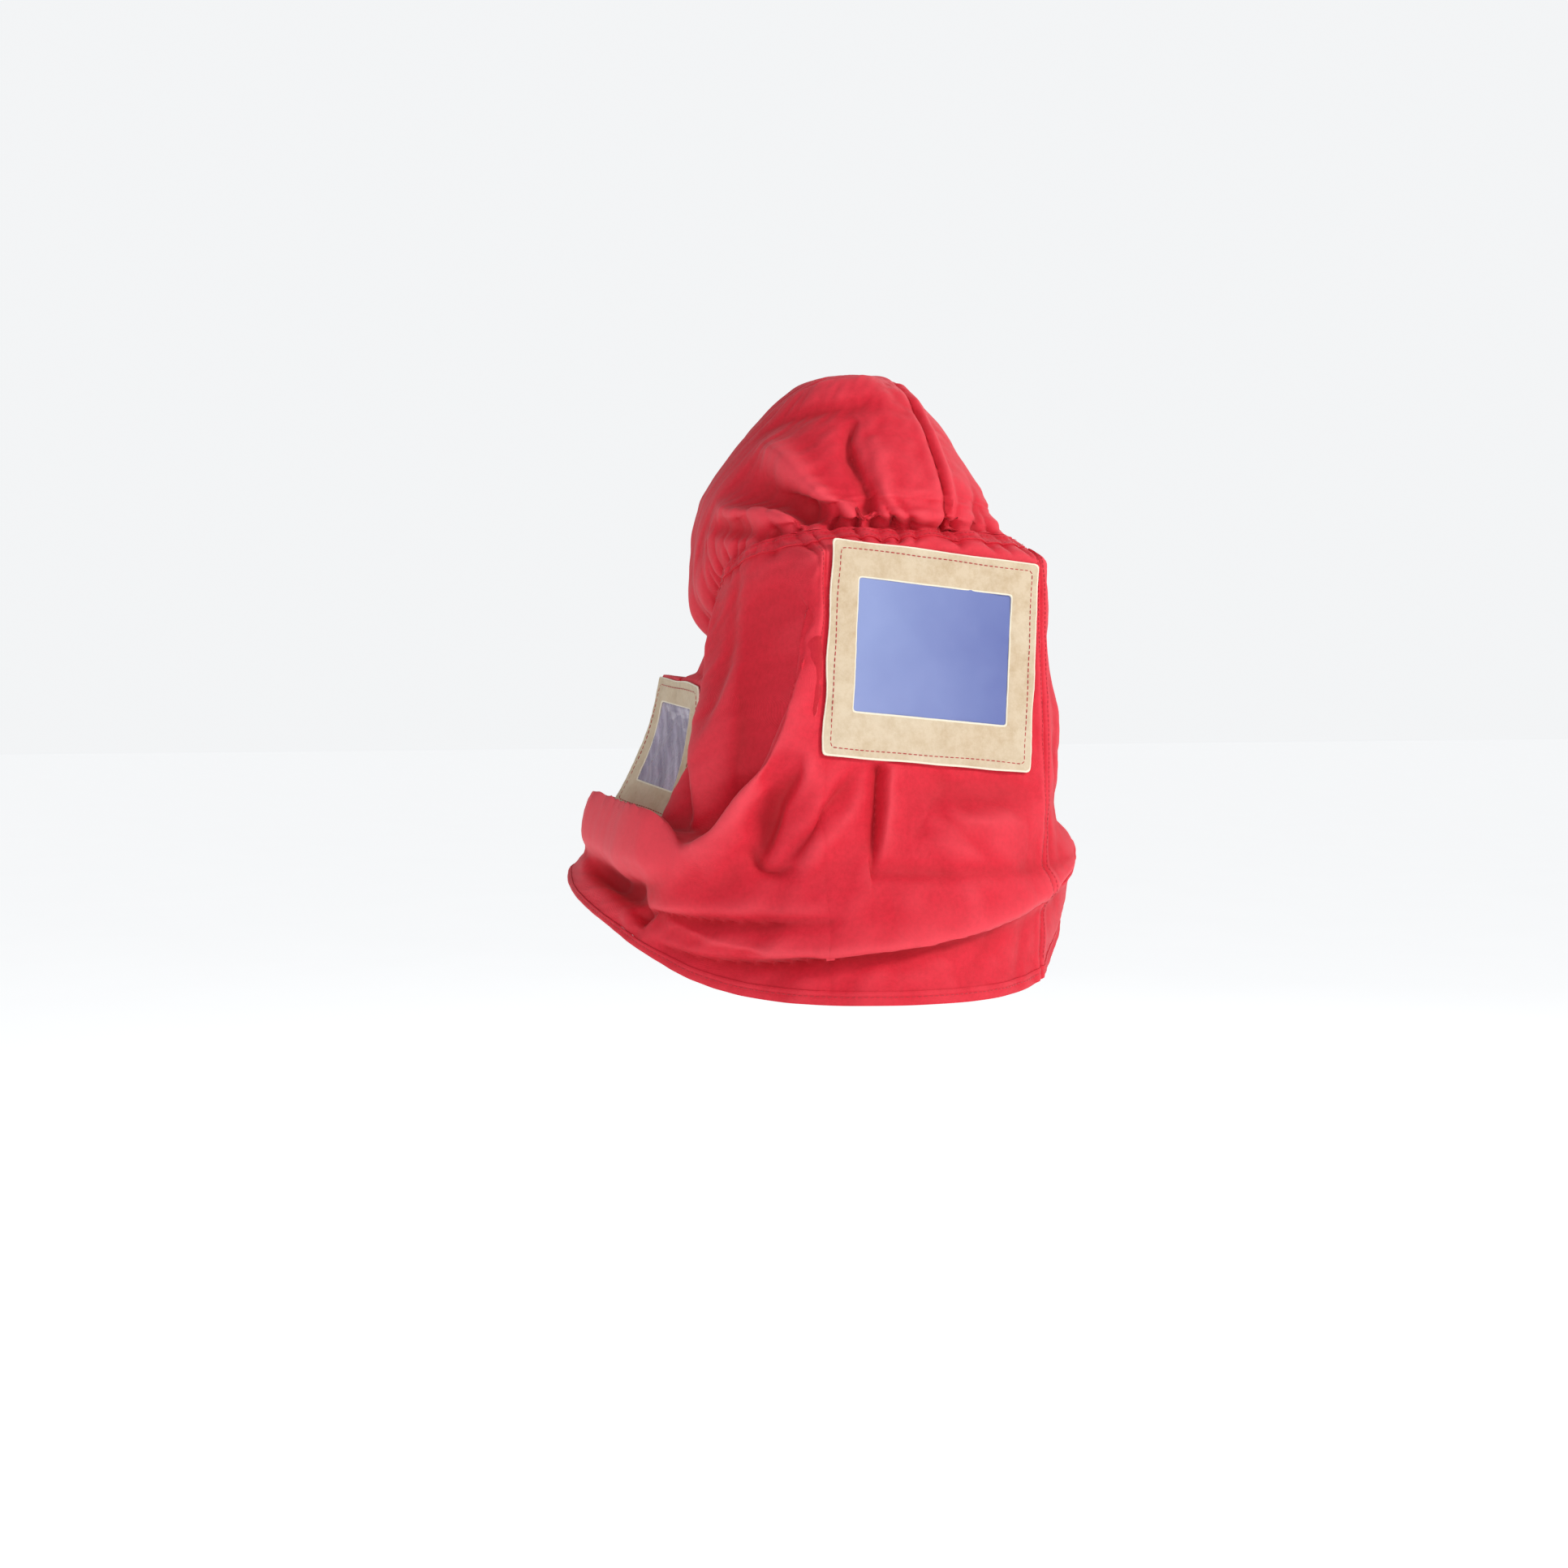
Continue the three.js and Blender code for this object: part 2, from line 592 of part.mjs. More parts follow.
const red = new THREE.MeshStandardMaterial({ color: 0xd32033, roughness: 0.85, metalness: 0 });
const tan = new THREE.MeshStandardMaterial({ color: 0xd2bc94, roughness: 0.8, metalness: 0 });
const clear = new THREE.MeshStandardMaterial({ color: 0x8594d0, roughness: 0.12, metalness: 0 });
const hazy = new THREE.MeshStandardMaterial({ color: 0x9691b9, roughness: 0.3, metalness: 0 });

const hood = new THREE.Group();
function add(name, solid, material) {
  const mesh = new THREE.Mesh(geometryOf(solid), material);
  mesh.name = name;
  hood.add(mesh);
}

const frontOpening = { width: openingWidth, height: openingHeight, raise: openingRaise };
const sideOpening = { width: sideOpeningWidth, height: sideOpeningHeight, raise: sideOpeningRaise };
for (const [name, solid] of Object.entries({ ...buildCrowns(), ...buildPanels() })) {
  add(name, solid, red);
}
add("gather_band", buildBand(), red);
add("hem", buildHem(), red);
add("front_frame", buildFrame(frontWindow, frameWall, frontOpening, lensLap, lensWall), tan);
add("front_lens", buildPane(frontWindow, frontOpening, lensLap, lensWall), clear);
add("side_frame", buildFrame(sideWindow, sideFrameWall, sideOpening, filmLap, filmWall), tan);
add("side_film", buildPane(sideWindow, sideOpening, filmLap, filmWall), hazy);

export default hood;
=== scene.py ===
# Looks of a cloth blasting hood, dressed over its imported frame. Metres, +Z up, the window looks along -Y.
import math

import bpy
import numpy as np
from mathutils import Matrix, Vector


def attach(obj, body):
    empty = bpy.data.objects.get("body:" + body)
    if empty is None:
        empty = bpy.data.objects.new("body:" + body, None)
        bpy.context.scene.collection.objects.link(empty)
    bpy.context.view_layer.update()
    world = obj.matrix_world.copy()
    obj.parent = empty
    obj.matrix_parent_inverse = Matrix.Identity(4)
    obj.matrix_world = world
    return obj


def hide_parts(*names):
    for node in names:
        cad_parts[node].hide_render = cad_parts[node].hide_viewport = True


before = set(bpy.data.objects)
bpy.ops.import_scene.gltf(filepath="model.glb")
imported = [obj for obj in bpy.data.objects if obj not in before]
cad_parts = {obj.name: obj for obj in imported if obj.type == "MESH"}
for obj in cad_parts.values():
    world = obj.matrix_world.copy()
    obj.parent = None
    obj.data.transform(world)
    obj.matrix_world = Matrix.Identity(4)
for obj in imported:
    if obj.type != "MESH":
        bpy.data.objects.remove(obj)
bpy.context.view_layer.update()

degree = math.pi / 180


# Small tools

def deselectAll():
    if bpy.context.object and bpy.context.object.mode != "OBJECT":
        bpy.ops.object.mode_set(mode="OBJECT")
    bpy.ops.object.select_all(action="DESELECT")


def activate(obj):
    deselectAll()
    obj.select_set(True)
    bpy.context.view_layer.objects.active = obj


def smoothStep(x):
    t = np.clip(x, 0, 1)
    return t * t * (3 - 2 * t)


def unit(v):
    return v / np.maximum(np.linalg.norm(v, axis=-1, keepdims=True), 1e-12)


# Soft even noise made of a few seeded waves, between about -1 and 1
def ripple(u, v, length, seed, waves=7):
    rng = np.random.default_rng(seed)
    total = np.zeros(np.broadcast(u, v).shape)
    for _ in range(waves):
        turn = rng.uniform(0, 2 * math.pi)
        size = length * rng.uniform(0.7, 1.5)
        phase = rng.uniform(0, 2 * math.pi)
        total += np.cos(2 * math.pi * (u * math.cos(turn) + v * math.sin(turn)) / size + phase)
    return total / math.sqrt(waves)


# The same, for a place at an azimuth, so that it meets itself at the back
def ringRipple(azimuth, mmPerDegree, down, length, seed):
    radius = mmPerDegree / degree
    return ripple(radius * np.sin(azimuth * degree), down + radius * np.cos(azimuth * degree), length, seed)


# Smooth curve through (at[i], value[i]); value may hold one row for each place along
def through(at, value, x, level=False):
    at = np.asarray(at, float)
    value = np.asarray(value, float)
    if value.ndim == 1:
        value = np.repeat(value[:, None], x.size, axis=1)
    flat = np.clip(x.ravel(), at[0], at[-1])
    slopes = np.diff(value, axis=0) / np.diff(at)[:, None]
    tangents = np.zeros_like(value)
    before = np.diff(at)[:-1, None]
    after = np.diff(at)[1:, None]
    tangents[1:-1] = (slopes[:-1] * after + slopes[1:] * before) / (before + after)
    if not level:
        tangents[0] = slopes[0]
        tangents[-1] = slopes[-1]
    i = np.clip(np.searchsorted(at, flat, side="right") - 1, 0, len(at) - 2)
    k = np.arange(flat.size)
    span = at[i + 1] - at[i]
    t = (flat - at[i]) / span
    low = value[i, k] * (1 + 2 * t) * (1 - t) ** 2 + value[i + 1, k] * t * t * (3 - 2 * t)
    bent = low + span * t * (1 - t) * (tangents[i, k] * (1 - t) - tangents[i + 1, k] * t)
    return bent.reshape(x.shape)


# The hood's base form, as its frame has it: reach and drop round its axis, at each section

hang = {
    "places": [0, 45, 90, 125, 180],
    "hemReach": [0.205, 0.186, 0.205, 0.242, 0.200],
    "hemDrop": [0.493, 0.486, 0.438, 0.408, 0.470],
    "turn": -12,
    "turnFrom": 0.25,
    "turnTo": 0.7,
    # along the wall: shares of the hem's reach, then of its drop, at each place
    "gather": [0.0, 0.66, 0.79, 0.53, 0.42, 0.5, 0.267, 0.282, 0.404, 0.55, 0.5],
    "yoke": [0.07, 0.712, 0.83, 0.546, 0.43, 0.56, 0.294, 0.325, 0.44, 0.592, 0.53],
    "window": [0.22, 0.761, 0.87, 0.595, 0.537, 0.65, 0.415, 0.444, 0.53, 0.66, 0.59],
    "sill": [0.44, 0.79, 1.0, 0.644, 0.58, 0.62, 0.592, 0.602, 0.667, 0.735, 0.664],
    "throat": [0.6, 0.845, 1.02, 0.722, 0.685, 0.7, 0.71, 0.714, 0.772, 0.821, 0.749],
    "roll": [0.75, 0.917, 1.0, 0.868, 0.88, 0.84, 0.82, 0.822, 0.875, 0.897, 0.84],
    "skirt": [0.88, 0.961, 1.0, 0.956, 0.94, 0.94, 0.92, 0.92, 0.95, 0.956, 0.928],
    "hem": [1.0] * 11,
    "length": 0.75 * 0.493,
}
wallRows = ("gather", "yoke", "window", "sill", "throat", "roll", "skirt", "hem")
wallTable = np.array([hang[name] for name in wallRows])


def heading(azimuth):
    turned = azimuth * degree
    return np.stack([np.sin(turned), -np.cos(turned), np.zeros_like(turned)], axis=-1)


def roundHood(shares, sizes, azimuth):
    away = np.abs((azimuth + 180) % 360 - 180)
    return through(hang["places"], shares * np.array(sizes), away, level=True)


def wallBase(azimuth, along):
    late = smoothStep((along - hang["turnFrom"]) / (hang["turnTo"] - hang["turnFrom"]))
    turned = azimuth - hang["turn"] * late
    reaches = np.array([roundHood(row[1:6], hang["hemReach"], turned).ravel() for row in wallTable])
    falls = np.array([roundHood(row[6:], hang["hemDrop"], turned).ravel() for row in wallTable])
    point = heading(azimuth) * through(wallTable[:, 0], reaches, along)[..., None]
    point[..., 2] = -through(wallTable[:, 0], falls, along)
    return point


cap = {
    "seamAt": 0.022,
    "width": 0.226,
    "length": 0.290,
    "domeDrop": 0.098,
    "lead": 0.014,
    "rimLift": 0.0008,
    # along the cap: dome, skirt, reach and lead
    "top": [0.0, 0.0, 0.0, 0.0, 1.0],
    "crest": [0.12, 0.03, 0.0, 0.24, 0.95],
    "brim": [0.26, 0.16, 0.0, 0.44, 0.85],
    "slope": [0.4, 0.38, 0.0, 0.62, 0.6],
    "flank": [0.54, 0.66, 0.0, 0.8, 0.3],
    "belly": [0.68, 1.0, 0.02, 0.97, 0.0],
    "low": [0.82, 1.0, 0.45, 1.02, -0.3],
    "tuck": [0.93, 1.0, 0.85, 1.04, -0.2],
    "rim": [1.0, 1.0, 1.0, 0.88, 0.0],
}
capRows = ("top", "crest", "brim", "slope", "flank", "belly", "low", "tuck", "rim")
capTable = np.array([cap[name] for name in capRows])
clothWall = 0.0016
turnedWall = 0.0007
seamRoom = 0.0001


def capBase(azimuth, along):
    dome, skirt, reach, lead = (through(capTable[:, 0], capTable[:, k], along) for k in range(1, 5))
    turned = (azimuth + 180) % 360 - 180
    rim = np.stack([np.interp(turned, rimAzimuths, rimPoints[:, k]) for k in range(3)], axis=-1)
    direction = heading(azimuth)
    across = 2 * direction[..., 0] / cap["width"]
    endways = 2 * direction[..., 1] / cap["length"]
    egg = 1 / np.hypot(across, endways)
    drop = dome * cap["domeDrop"] + skirt * (-rim[..., 2] - cap["rimLift"] - cap["domeDrop"])
    point = direction * (reach * egg)[..., None]
    point[..., 1] -= lead * cap["lead"]
    point[..., 2] = clothWall * (1 - dome) - drop
    toRim = smoothStep((along - 0.68) / 0.32) ** 4
    point[..., :2] += (rim[..., :2] - point[..., :2]) * toRim[..., None]
    return point


def normalOf(surface, azimuth, along):
    aStep, sStep = 0.6, 0.004
    across = surface(azimuth + aStep, along) - surface(azimuth - aStep, along)
    down = surface(azimuth, np.clip(along + sStep, 0, 1)) - surface(azimuth, np.clip(along - sStep, 0, 1))
    return unit(np.cross(down, across))


# Folds. Each runs from (a0, s0) by way of (a1, s1) to (a2, s2): azimuths in degrees and shares along the
# cloth. Then come its height, its widths on the near and the far side and its lean, all in millimetres, the
# share of its height that it has at its start and end, and 2 for a round fold down to 1 for a crease.

foldSteps = 20

# Millimetres for each degree round and for the whole length, as the folds' widths are measured
wallScale = (3, hang["length"] * 1000)
capScale = (2, 200)


def nearestOnFold(fold, x, y, mmPerDegree, mmPerAlong):
    best = np.full(x.shape, np.inf)
    share, side, around, down = (np.zeros(x.shape) for _ in range(4))
    t = np.linspace(0, 1, foldSteps + 1)
    p, q, r = (1 - t) ** 2, 2 * t * (1 - t), t * t
    px = (p * fold[0] + q * fold[2] + r * fold[4]) * mmPerDegree
    py = (p * fold[1] + q * fold[3] + r * fold[5]) * mmPerAlong
    for k in range(foldSteps):
        dx, dy = px[k + 1] - px[k], py[k + 1] - py[k]
        step = np.clip(((x - px[k]) * dx + (y - py[k]) * dy) / (dx * dx + dy * dy), 0, 1)
        ox, oy = x - px[k] - step * dx, y - py[k] - step * dy
        squared = ox * ox + oy * oy
        closer = squared < best
        length = math.hypot(dx, dy)
        best = np.where(closer, squared, best)
        share = np.where(closer, (k + step) / foldSteps, share)
        side = np.where(closer, (dx * oy - dy * ox) / (length * np.sqrt(squared) + 1e-9), side)
        around = np.where(closer, -dy / length, around)
        down = np.where(closer, dx / length, down)
    return np.sqrt(best), share, side, around, down


def foldField(folds, azimuth, along, mmPerDegree, mmPerAlong):
    y = along * mmPerAlong
    rise, around, down = (np.zeros(y.shape) for _ in range(3))
    for fold in folds.values():
        *_, height, near, far, lean, start, end, sharp = fold
        x = (fold[2] + (azimuth - fold[2] + 180) % 360 - 180) * mmPerDegree
        beyond = max(near, far) * (2.7 if sharp > 1.7 else 3.6)
        placesX = np.array(fold[0:6:2]) * mmPerDegree
        placesY = np.array(fold[1:6:2]) * mmPerAlong
        close = (x > placesX.min() - beyond) & (x < placesX.max() + beyond)
        close &= (y > placesY.min() - beyond) & (y < placesY.max() + beyond)
        if not close.any():
            continue
        away, share, side, ar, dn = nearestOnFold(fold, x[close], y[close], mmPerDegree, mmPerAlong)
        width = (near * (1 - side) + far * (1 + side)) / 2
        swell = np.minimum(1, 4 * share * (1 - share) + start * (1 - share) ** 2 + end * share ** 2)
        size = swell * np.exp(-((away / width) ** sharp))
        rise[close] += height * size
        around[close] += lean * size * ar
        down[close] += lean * size * dn
    return rise / 1000, around, down


def folded(base, folds, mmPerDegree, mmPerAlong):
    def surface(azimuth, along):
        rise, around, down = foldField(folds, azimuth, along, mmPerDegree, mmPerAlong)
        a = azimuth + around / mmPerDegree
        s = np.clip(along + down / mmPerAlong, 0, 1)
        return base(a, s) + normalOf(base, a, s) * rise[..., None]

    return surface


mainFolds = {
    "frontEdge": [-37, 0.25, -29, 0.49, -63, 0.725, 17, 18, 7.5, 8.5, 0.25, 0.3, 2],
    "frontValley": [-49, 0.15, -39, 0.49, -69, 0.69, -38, 10, 24, 0, 0.2, 0.4, 2],
    "seamSlope": [-40, 0.05, -43, 0.13, -47, 0.22, -9, 14, 20, 0, 0.3, 0.5, 2],
    "curtain": [-78, 0.03, -82, 0.26, -66, 0.58, 5, 20, 9, 3, 0.1, 0.3, 2],
    "besideWindow": [-92, 0.3, -80, 0.46, -76, 0.65, -24, 14, 15, 0, 0.1, 0.4, 2],
    "napeFlap": [-96, 0.1, -112, 0.12, -130, 0.14, -9, 15, 15, 0, 0.5, 0.5, 2],
    "roll": [-60, 0.70, -92, 0.75, -134, 0.728, 21, 26, 12, 9, 0.4, 0.7, 2],
    "rollUnder": [-78, 0.86, -96, 0.84, -118, 0.82, -18, 15, 13, 0, 0.1, 0.4, 2],
    "finger": [-35, 0.45, -40, 0.58, -47, 0.72, -13, 10, 14, 0, 0.1, 0.1, 1.8],
    "fingerSide": [-29, 0.5, -31, 0.6, -37, 0.74, 8, 13, 12, 0, 0.1, 0.1, 2],
    "chest": [-4, 0.6, 6, 0.66, 24, 0.66, 7, 36, 36, 0, 0.1, 0.1, 2],
    "skirtLip": [-78, 0.85, -20, 0.885, 54, 0.75, 9, 32, 11, 9, 0.2, 0.6, 2],
    "leftShoulder": [40, 0.74, 76, 0.72, 118, 0.74, 20, 27, 33, 0, 0.2, 0.2, 2],
    "leftHem": [34, 0.97, 62, 1.0, 96, 0.97, -13, 33, 18, 0, 0.2, 0.2, 2],
    "backRight": [-150, 0.1, -156, 0.4, -146, 0.75, 9, 21, 21, 0, 0.1, 0.3, 2],
    "backLeft": [146, 0.1, 158, 0.4, 150, 0.75, 9, 21, 21, 0, 0.1, 0.3, 2],
    "backMiddle": [180, 0.15, 182, 0.45, 178, 0.8, -9, 24, 24, 0, 0.1, 0.3, 2],
    "leftSide": [96, 0.06, 88, 0.3, 70, 0.6, 9, 21, 21, 0, 0.2, 0.1, 2],
    "leftValley": [76, 0.1, 66, 0.35, 56, 0.6, -6, 18, 18, 0, 0.1, 0.1, 2],
    "leftFull": [38, 0.06, 43, 0.25, 44, 0.48, 8, 26, 26, 0, 0.2, 0.1, 2],
}
capMainFolds = {
    "crestLine": [-84, 0.42, -28, 0.27, 14, 0.24, 3, 18, 18, 0, 0.1, 0.1, 2],
    "leftFlat": [64, 0.3, 64, 0.45, 64, 0.64, -12, 33, 33, 0, 0.3, 0.3, 2],
    "upperRidge": [-76, 0.53, -36, 0.54, -22, 0.93, 8.5, 10, 12, 0, 0.1, 0.3, 2],
    "sideValley": [-84, 0.62, -42, 0.72, -29, 0.95, -8, 11, 11, 0, 0.1, 0.4, 2],
    "lowerRidge": [-92, 0.71, -50, 0.83, -36, 0.97, 8, 9, 11, 0, 0.1, 0.3, 2],
    "backRidge": [-150, 0.5, -150, 0.7, -146, 0.96, 5, 18, 18, 0, 0.1, 0.3, 2],
    "backValley": [-174, 0.55, -176, 0.75, -170, 0.97, -5, 18, 18, 0, 0.1, 0.4, 2],
    "leftRidge": [96, 0.6, 86, 0.78, 80, 0.97, 5, 18, 18, 0, 0.1, 0.3, 2],
}
foldedWall = folded(wallBase, mainFolds, *wallScale)
foldedCap = folded(capBase, capMainFolds, *capScale)
rimAzimuths = np.linspace(-180, 180, 1441)
rimPoints = foldedWall(rimAzimuths, np.zeros(1441))

# Finer folds and creases, laid on the wall after its main form
fineFolds = {
    "frontCrest": [-34, 0.45, -40, 0.58, -60, 0.705, 2.2, 7, 4, 0, 0.0, 0.0, 1.7],
    "edgeFoot": [-40, 0.45, -46, 0.58, -67, 0.71, -4, 3, 10, 0, 0.0, 0.0, 1.6],
    "curtainLine": [-74, 0.03, -83, 0.22, -80, 0.5, 2.2, 6, 4, 0, 0.4, 0.3, 1.6],
    "curtainHollow": [-62, 0.06, -64, 0.22, -66, 0.42, -3.5, 11, 11, 0, 0.2, 0.2, 2],
    "valleyRib": [-57, 0.2, -60, 0.36, -68, 0.5, 2.0, 7, 7, 0, 0.1, 0.1, 2],
    "finger": [-35, 0.475, -39, 0.58, -46, 0.7, -8.5, 3.5, 9, 0, 0.1, 0.3, 1.3],
    "fingerTurn": [-47, 0.695, -46, 0.74, -39, 0.715, -5, 3.5, 5, 0, 0.7, 0.6, 1.5],
    "fingerLip": [-34, 0.47, -38, 0.58, -44, 0.7, 2.4, 6, 5, 0, 0.1, 0.2, 1.8],
    "fingerFar": [-42, 0.5, -47, 0.6, -52, 0.68, 3.0, 9, 9, 0, 0.1, 0.1, 2],
    "thumb": [-22, 0.5, -31, 0.6, -41, 0.715, -8, 9, 6, 0, 0.1, 0.2, 1.5],
    "thumbLip": [-20, 0.53, -28, 0.64, -37, 0.72, 3.0, 9, 9, 0, 0.1, 0.1, 2],
    "dart": [-15.5, 0.475, -17, 0.58, -19.5, 0.715, -9, 2.6, 8, 0, 0.8, 0.1, 1.2],
    "dartLip": [-13, 0.475, -14.5, 0.58, -17, 0.71, 3.6, 8, 4, 0, 0.5, 0.1, 1.8],
    "chestLine": [-3, 0.57, 4, 0.65, 12, 0.72, -2.2, 9, 6, 0, 0.1, 0.1, 1.6],
    "chestFan": [2, 0.5, 2, 0.6, -6, 0.7, -2.2, 9, 9, 0, 0.2, 0.1, 2],
    "chestGlow": [-8, 0.66, 6, 0.72, 26, 0.7, 3.2, 14, 14, 0, 0.1, 0.1, 2],
    "longCreaseLeft": [-86, 0.885, -58, 0.8, -26, 0.802, -9, 3, 10, 0, 0.3, 0.05, 1.3],
    "longCreaseLip": [-86, 0.868, -58, 0.783, -26, 0.785, 2.0, 10, 4, 0, 0.3, 0.05, 1.8],
    "skirtCrease": [-74, 0.945, -16, 0.9, 56, 0.735, -8.5, 3, 9, 0, 0.35, 0.7, 1.2],
    "skirtLip": [-70, 0.925, -16, 0.877, 56, 0.712, 2.6, 15, 4, 0, 0.1, 0.6, 1.8],
    "skirtFall": [12, 0.83, 8, 0.9, 0, 0.97, -3.2, 10, 10, 0, 0.1, 0.3, 1.8],
    "skirtFallTwo": [24, 0.84, 22, 0.9, 20, 0.99, -2.4, 8, 10, 0, 0.1, 0.4, 1.8],
    "leftZig": [-84, 0.86, -82, 0.895, -83, 0.93, -7, 3.5, 6, 0, 0.6, 0.0, 1.5],
    "leftZigLip": [-89, 0.885, -89, 0.93, -88, 0.96, 2.0, 7, 7, 0, 0.3, 0.1, 1.9],
    "rollCrest": [-58, 0.66, -84, 0.715, -126, 0.742, 2.4, 10, 6, 0, 0.3, 0.3, 1.7],
    "rollFoot": [-72, 0.79, -92, 0.86, -112, 0.84, -8, 7, 9, 0, 0.3, 0.3, 1.5],
    "seamRight": [33, 0.5, 34, 0.62, 35, 0.77, -1.8, 4, 4, 0, 0.3, 0.3, 1.5],
    "leftPull": [40, 0.3, 38, 0.46, 42, 0.66, -3.5, 8, 10, 0, 0.2, 0.2, 1.8],
    "leftPullTwo": [60, 0.14, 52, 0.34, 48, 0.58, 3.0, 9, 9, 0, 0.2, 0.2, 2],
    "leftSkirt": [66, 0.84, 92, 0.88, 120, 0.86, -5, 5, 11, 0, 0.1, 0.1, 1.5],
    "leftSkirtLip": [66, 0.82, 92, 0.86, 120, 0.84, 3, 12, 5, 0, 0.1, 0.1, 1.8],
    "backCrease": [128, 0.66, 160, 0.76, -164, 0.7, -5, 6, 12, 0, 0.1, 0.1, 1.5],
    "backFall": [170, 0.1, 166, 0.35, 172, 0.6, -4, 9, 9, 0, 0.2, 0.1, 1.8],
    "backFallTwo": [-166, 0.12, -162, 0.3, -164, 0.55, 4, 9, 9, 0, 0.2, 0.1, 1.8],
    "backFallThree": [-142, 0.14, -140, 0.3, -136, 0.5, -4, 8, 8, 0, 0.2, 0.1, 1.8],
    "leftFall": [110, 0.06, 112, 0.26, 106, 0.5, -4, 9, 9, 0, 0.2, 0.1, 1.8],
    "leftFallTwo": [126, 0.06, 130, 0.3, 126, 0.56, 4, 9, 9, 0, 0.2, 0.1, 1.8],
}
capFineFolds = {
    "hookTop": [-20, 0.43, -28, 0.5, -22, 0.6, -7.5, 3.5, 8, 0, 0.1, 0.6, 1.4],
    "hookDown": [-23, 0.58, -14, 0.7, -18, 0.97, -7.5, 3.5, 9, 0, 0.6, 0.5, 1.4],
    "hookLip": [-15, 0.5, -12, 0.7, -13, 0.9, 4.0, 7, 7, 0, 0.1, 0.3, 2],
    "upperCrest": [-70, 0.55, -36, 0.56, -24, 0.9, 5, 5, 8, 0, 0.1, 0.3, 1.5],
    "lowerCrest": [-86, 0.715, -50, 0.83, -38, 0.96, 5, 5, 8, 0, 0.1, 0.3, 1.5],
    "underCrest": [-100, 0.8, -70, 0.86, -52, 0.97, 3.5, 6, 7, 0, 0.1, 0.3, 1.8],
    "valleyDeep": [-70, 0.62, -40, 0.7, -26, 0.95, -6.5, 8, 8, 0, 0.1, 0.5, 1.7],
    "valleyLow": [-86, 0.78, -58, 0.88, -44, 0.985, -5.5, 7, 7, 0, 0.1, 0.6, 1.7],
    "topPleat": [-92, 0.36, -40, 0.24, 4, 0.2, 5, 6, 9, 0, 0.1, 0.1, 1.5],
    "topPleatTwo": [-88, 0.47, -44, 0.36, -6, 0.36, -6, 7, 11, 0, 0.1, 0.1, 1.6],
    "topPleatThree": [-78, 0.29, -40, 0.17, 0, 0.14, -2.2, 6, 6, 0, 0.1, 0.1, 1.7],
    "leftSoft": [30, 0.62, 24, 0.78, 22, 0.97, -2.6, 6, 6, 0, 0.1, 0.7, 1.8],
    "leftSoftTwo": [44, 0.58, 38, 0.76, 33, 0.97, 2.4, 7, 7, 0, 0.1, 0.5, 1.8],
    "leftSoftThree": [58, 0.6, 50, 0.78, 44, 0.98, -2.4, 7, 7, 0, 0.1, 0.6, 1.8],
    "leftPull": [70, 0.55, 74, 0.75, 66, 0.97, 3, 9, 9, 0, 0.1, 0.4, 1.8],
    "backOne": [124, 0.6, 120, 0.78, 122, 0.97, -3, 8, 8, 0, 0.1, 0.6, 1.8],
    "backTwo": [150, 0.55, 152, 0.75, 150, 0.97, 3, 9, 9, 0, 0.1, 0.5, 1.8],
    "backThree": [-160, 0.6, -158, 0.8, -160, 0.98, -3, 8, 8, 0, 0.1, 0.6, 1.8],
    "backFour": [-132, 0.62, -128, 0.8, -124, 0.97, 3, 9, 9, 0, 0.1, 0.5, 1.8],
}


# Gathers that the elastic draws in: short pleats of uneven width, length and lean on both sides of the line
gathers = {"count": 52, "depth": 0.0092, "width": 1.6, "capReach": 38, "wallReach": 19, "seed": 11}


def gatherField(azimuth, mmFromLine, reach, seed, flat=0):
    rng = np.random.default_rng(seed)
    rise = np.zeros(azimuth.shape)
    spacing = 360 / gathers["count"]
    for k in range(gathers["count"]):
        at = k * spacing + rng.uniform(-0.32, 0.32) * spacing
        width = gathers["width"] * rng.uniform(0.75, 1.5)
        front = math.exp(-(((at + 8 + 180) % 360 - 180) / 62) ** 2)
        long = reach * rng.uniform(0.5, 1.7) * (0.4 + 0.6 * front)
        lean = rng.uniform(-0.13, 0.13)
        depth = rng.uniform(0.6, 1.35) * (0.45 + 0.55 * front)
        away = (azimuth - at - lean * mmFromLine + 180) % 360 - 180
        rise -= depth * np.exp(-(np.abs(away) / width) ** 1.4) * np.exp(-(mmFromLine / long) ** 1.5)
    return rise * gathers["depth"] * (0.3 + 0.7 * smoothStep((mmFromLine - flat) / 7))


# Window frames, from the same sizes as the frame: a plane, its directions, and the seat of the cloth on it

def windowPlane(centre, turn, pitch, roll, **sizes):
    out = heading(np.array(float(turn))) * math.cos(pitch * degree)
    out[2] = math.sin(pitch * degree)
    level = heading(np.array(float(turn + 90)))
    upright = -np.cross(level, out)
    across = level * math.cos(roll * degree) - upright * math.sin(roll * degree)
    up = upright * math.cos(roll * degree) + level * math.sin(roll * degree)
    return {"centre": np.array(centre), "out": out, "across": across, "up": up, **sizes}


frontWindow = windowPlane(
    (0, -0.157, -0.231), 0, 4, 5,
    width=0.183, height=0.166, wall=0.0024, bend=0, twist=0, beside=0.004, over=0.009, fade=0.034,
    opening=(0.134, 0.102, 0.004), stitchIn=0.0065,
)
sideCentre = heading(np.array(-113.0)) * 0.142 - np.array([0, 0, 0.305])
sideWindow = windowPlane(
    sideCentre, -90, 15, 6,
    width=0.112, height=0.114, wall=0.0022, bend=1 / 0.240, twist=1 / 0.640, beside=0.003, over=0.002,
    fade=0.009, opening=(0.072, 0.068, 0.003), stitchIn=0.006,
)


def seatHeight(window, a, b):
    return window["bend"] * b * b / 2 + window["twist"] * a * b


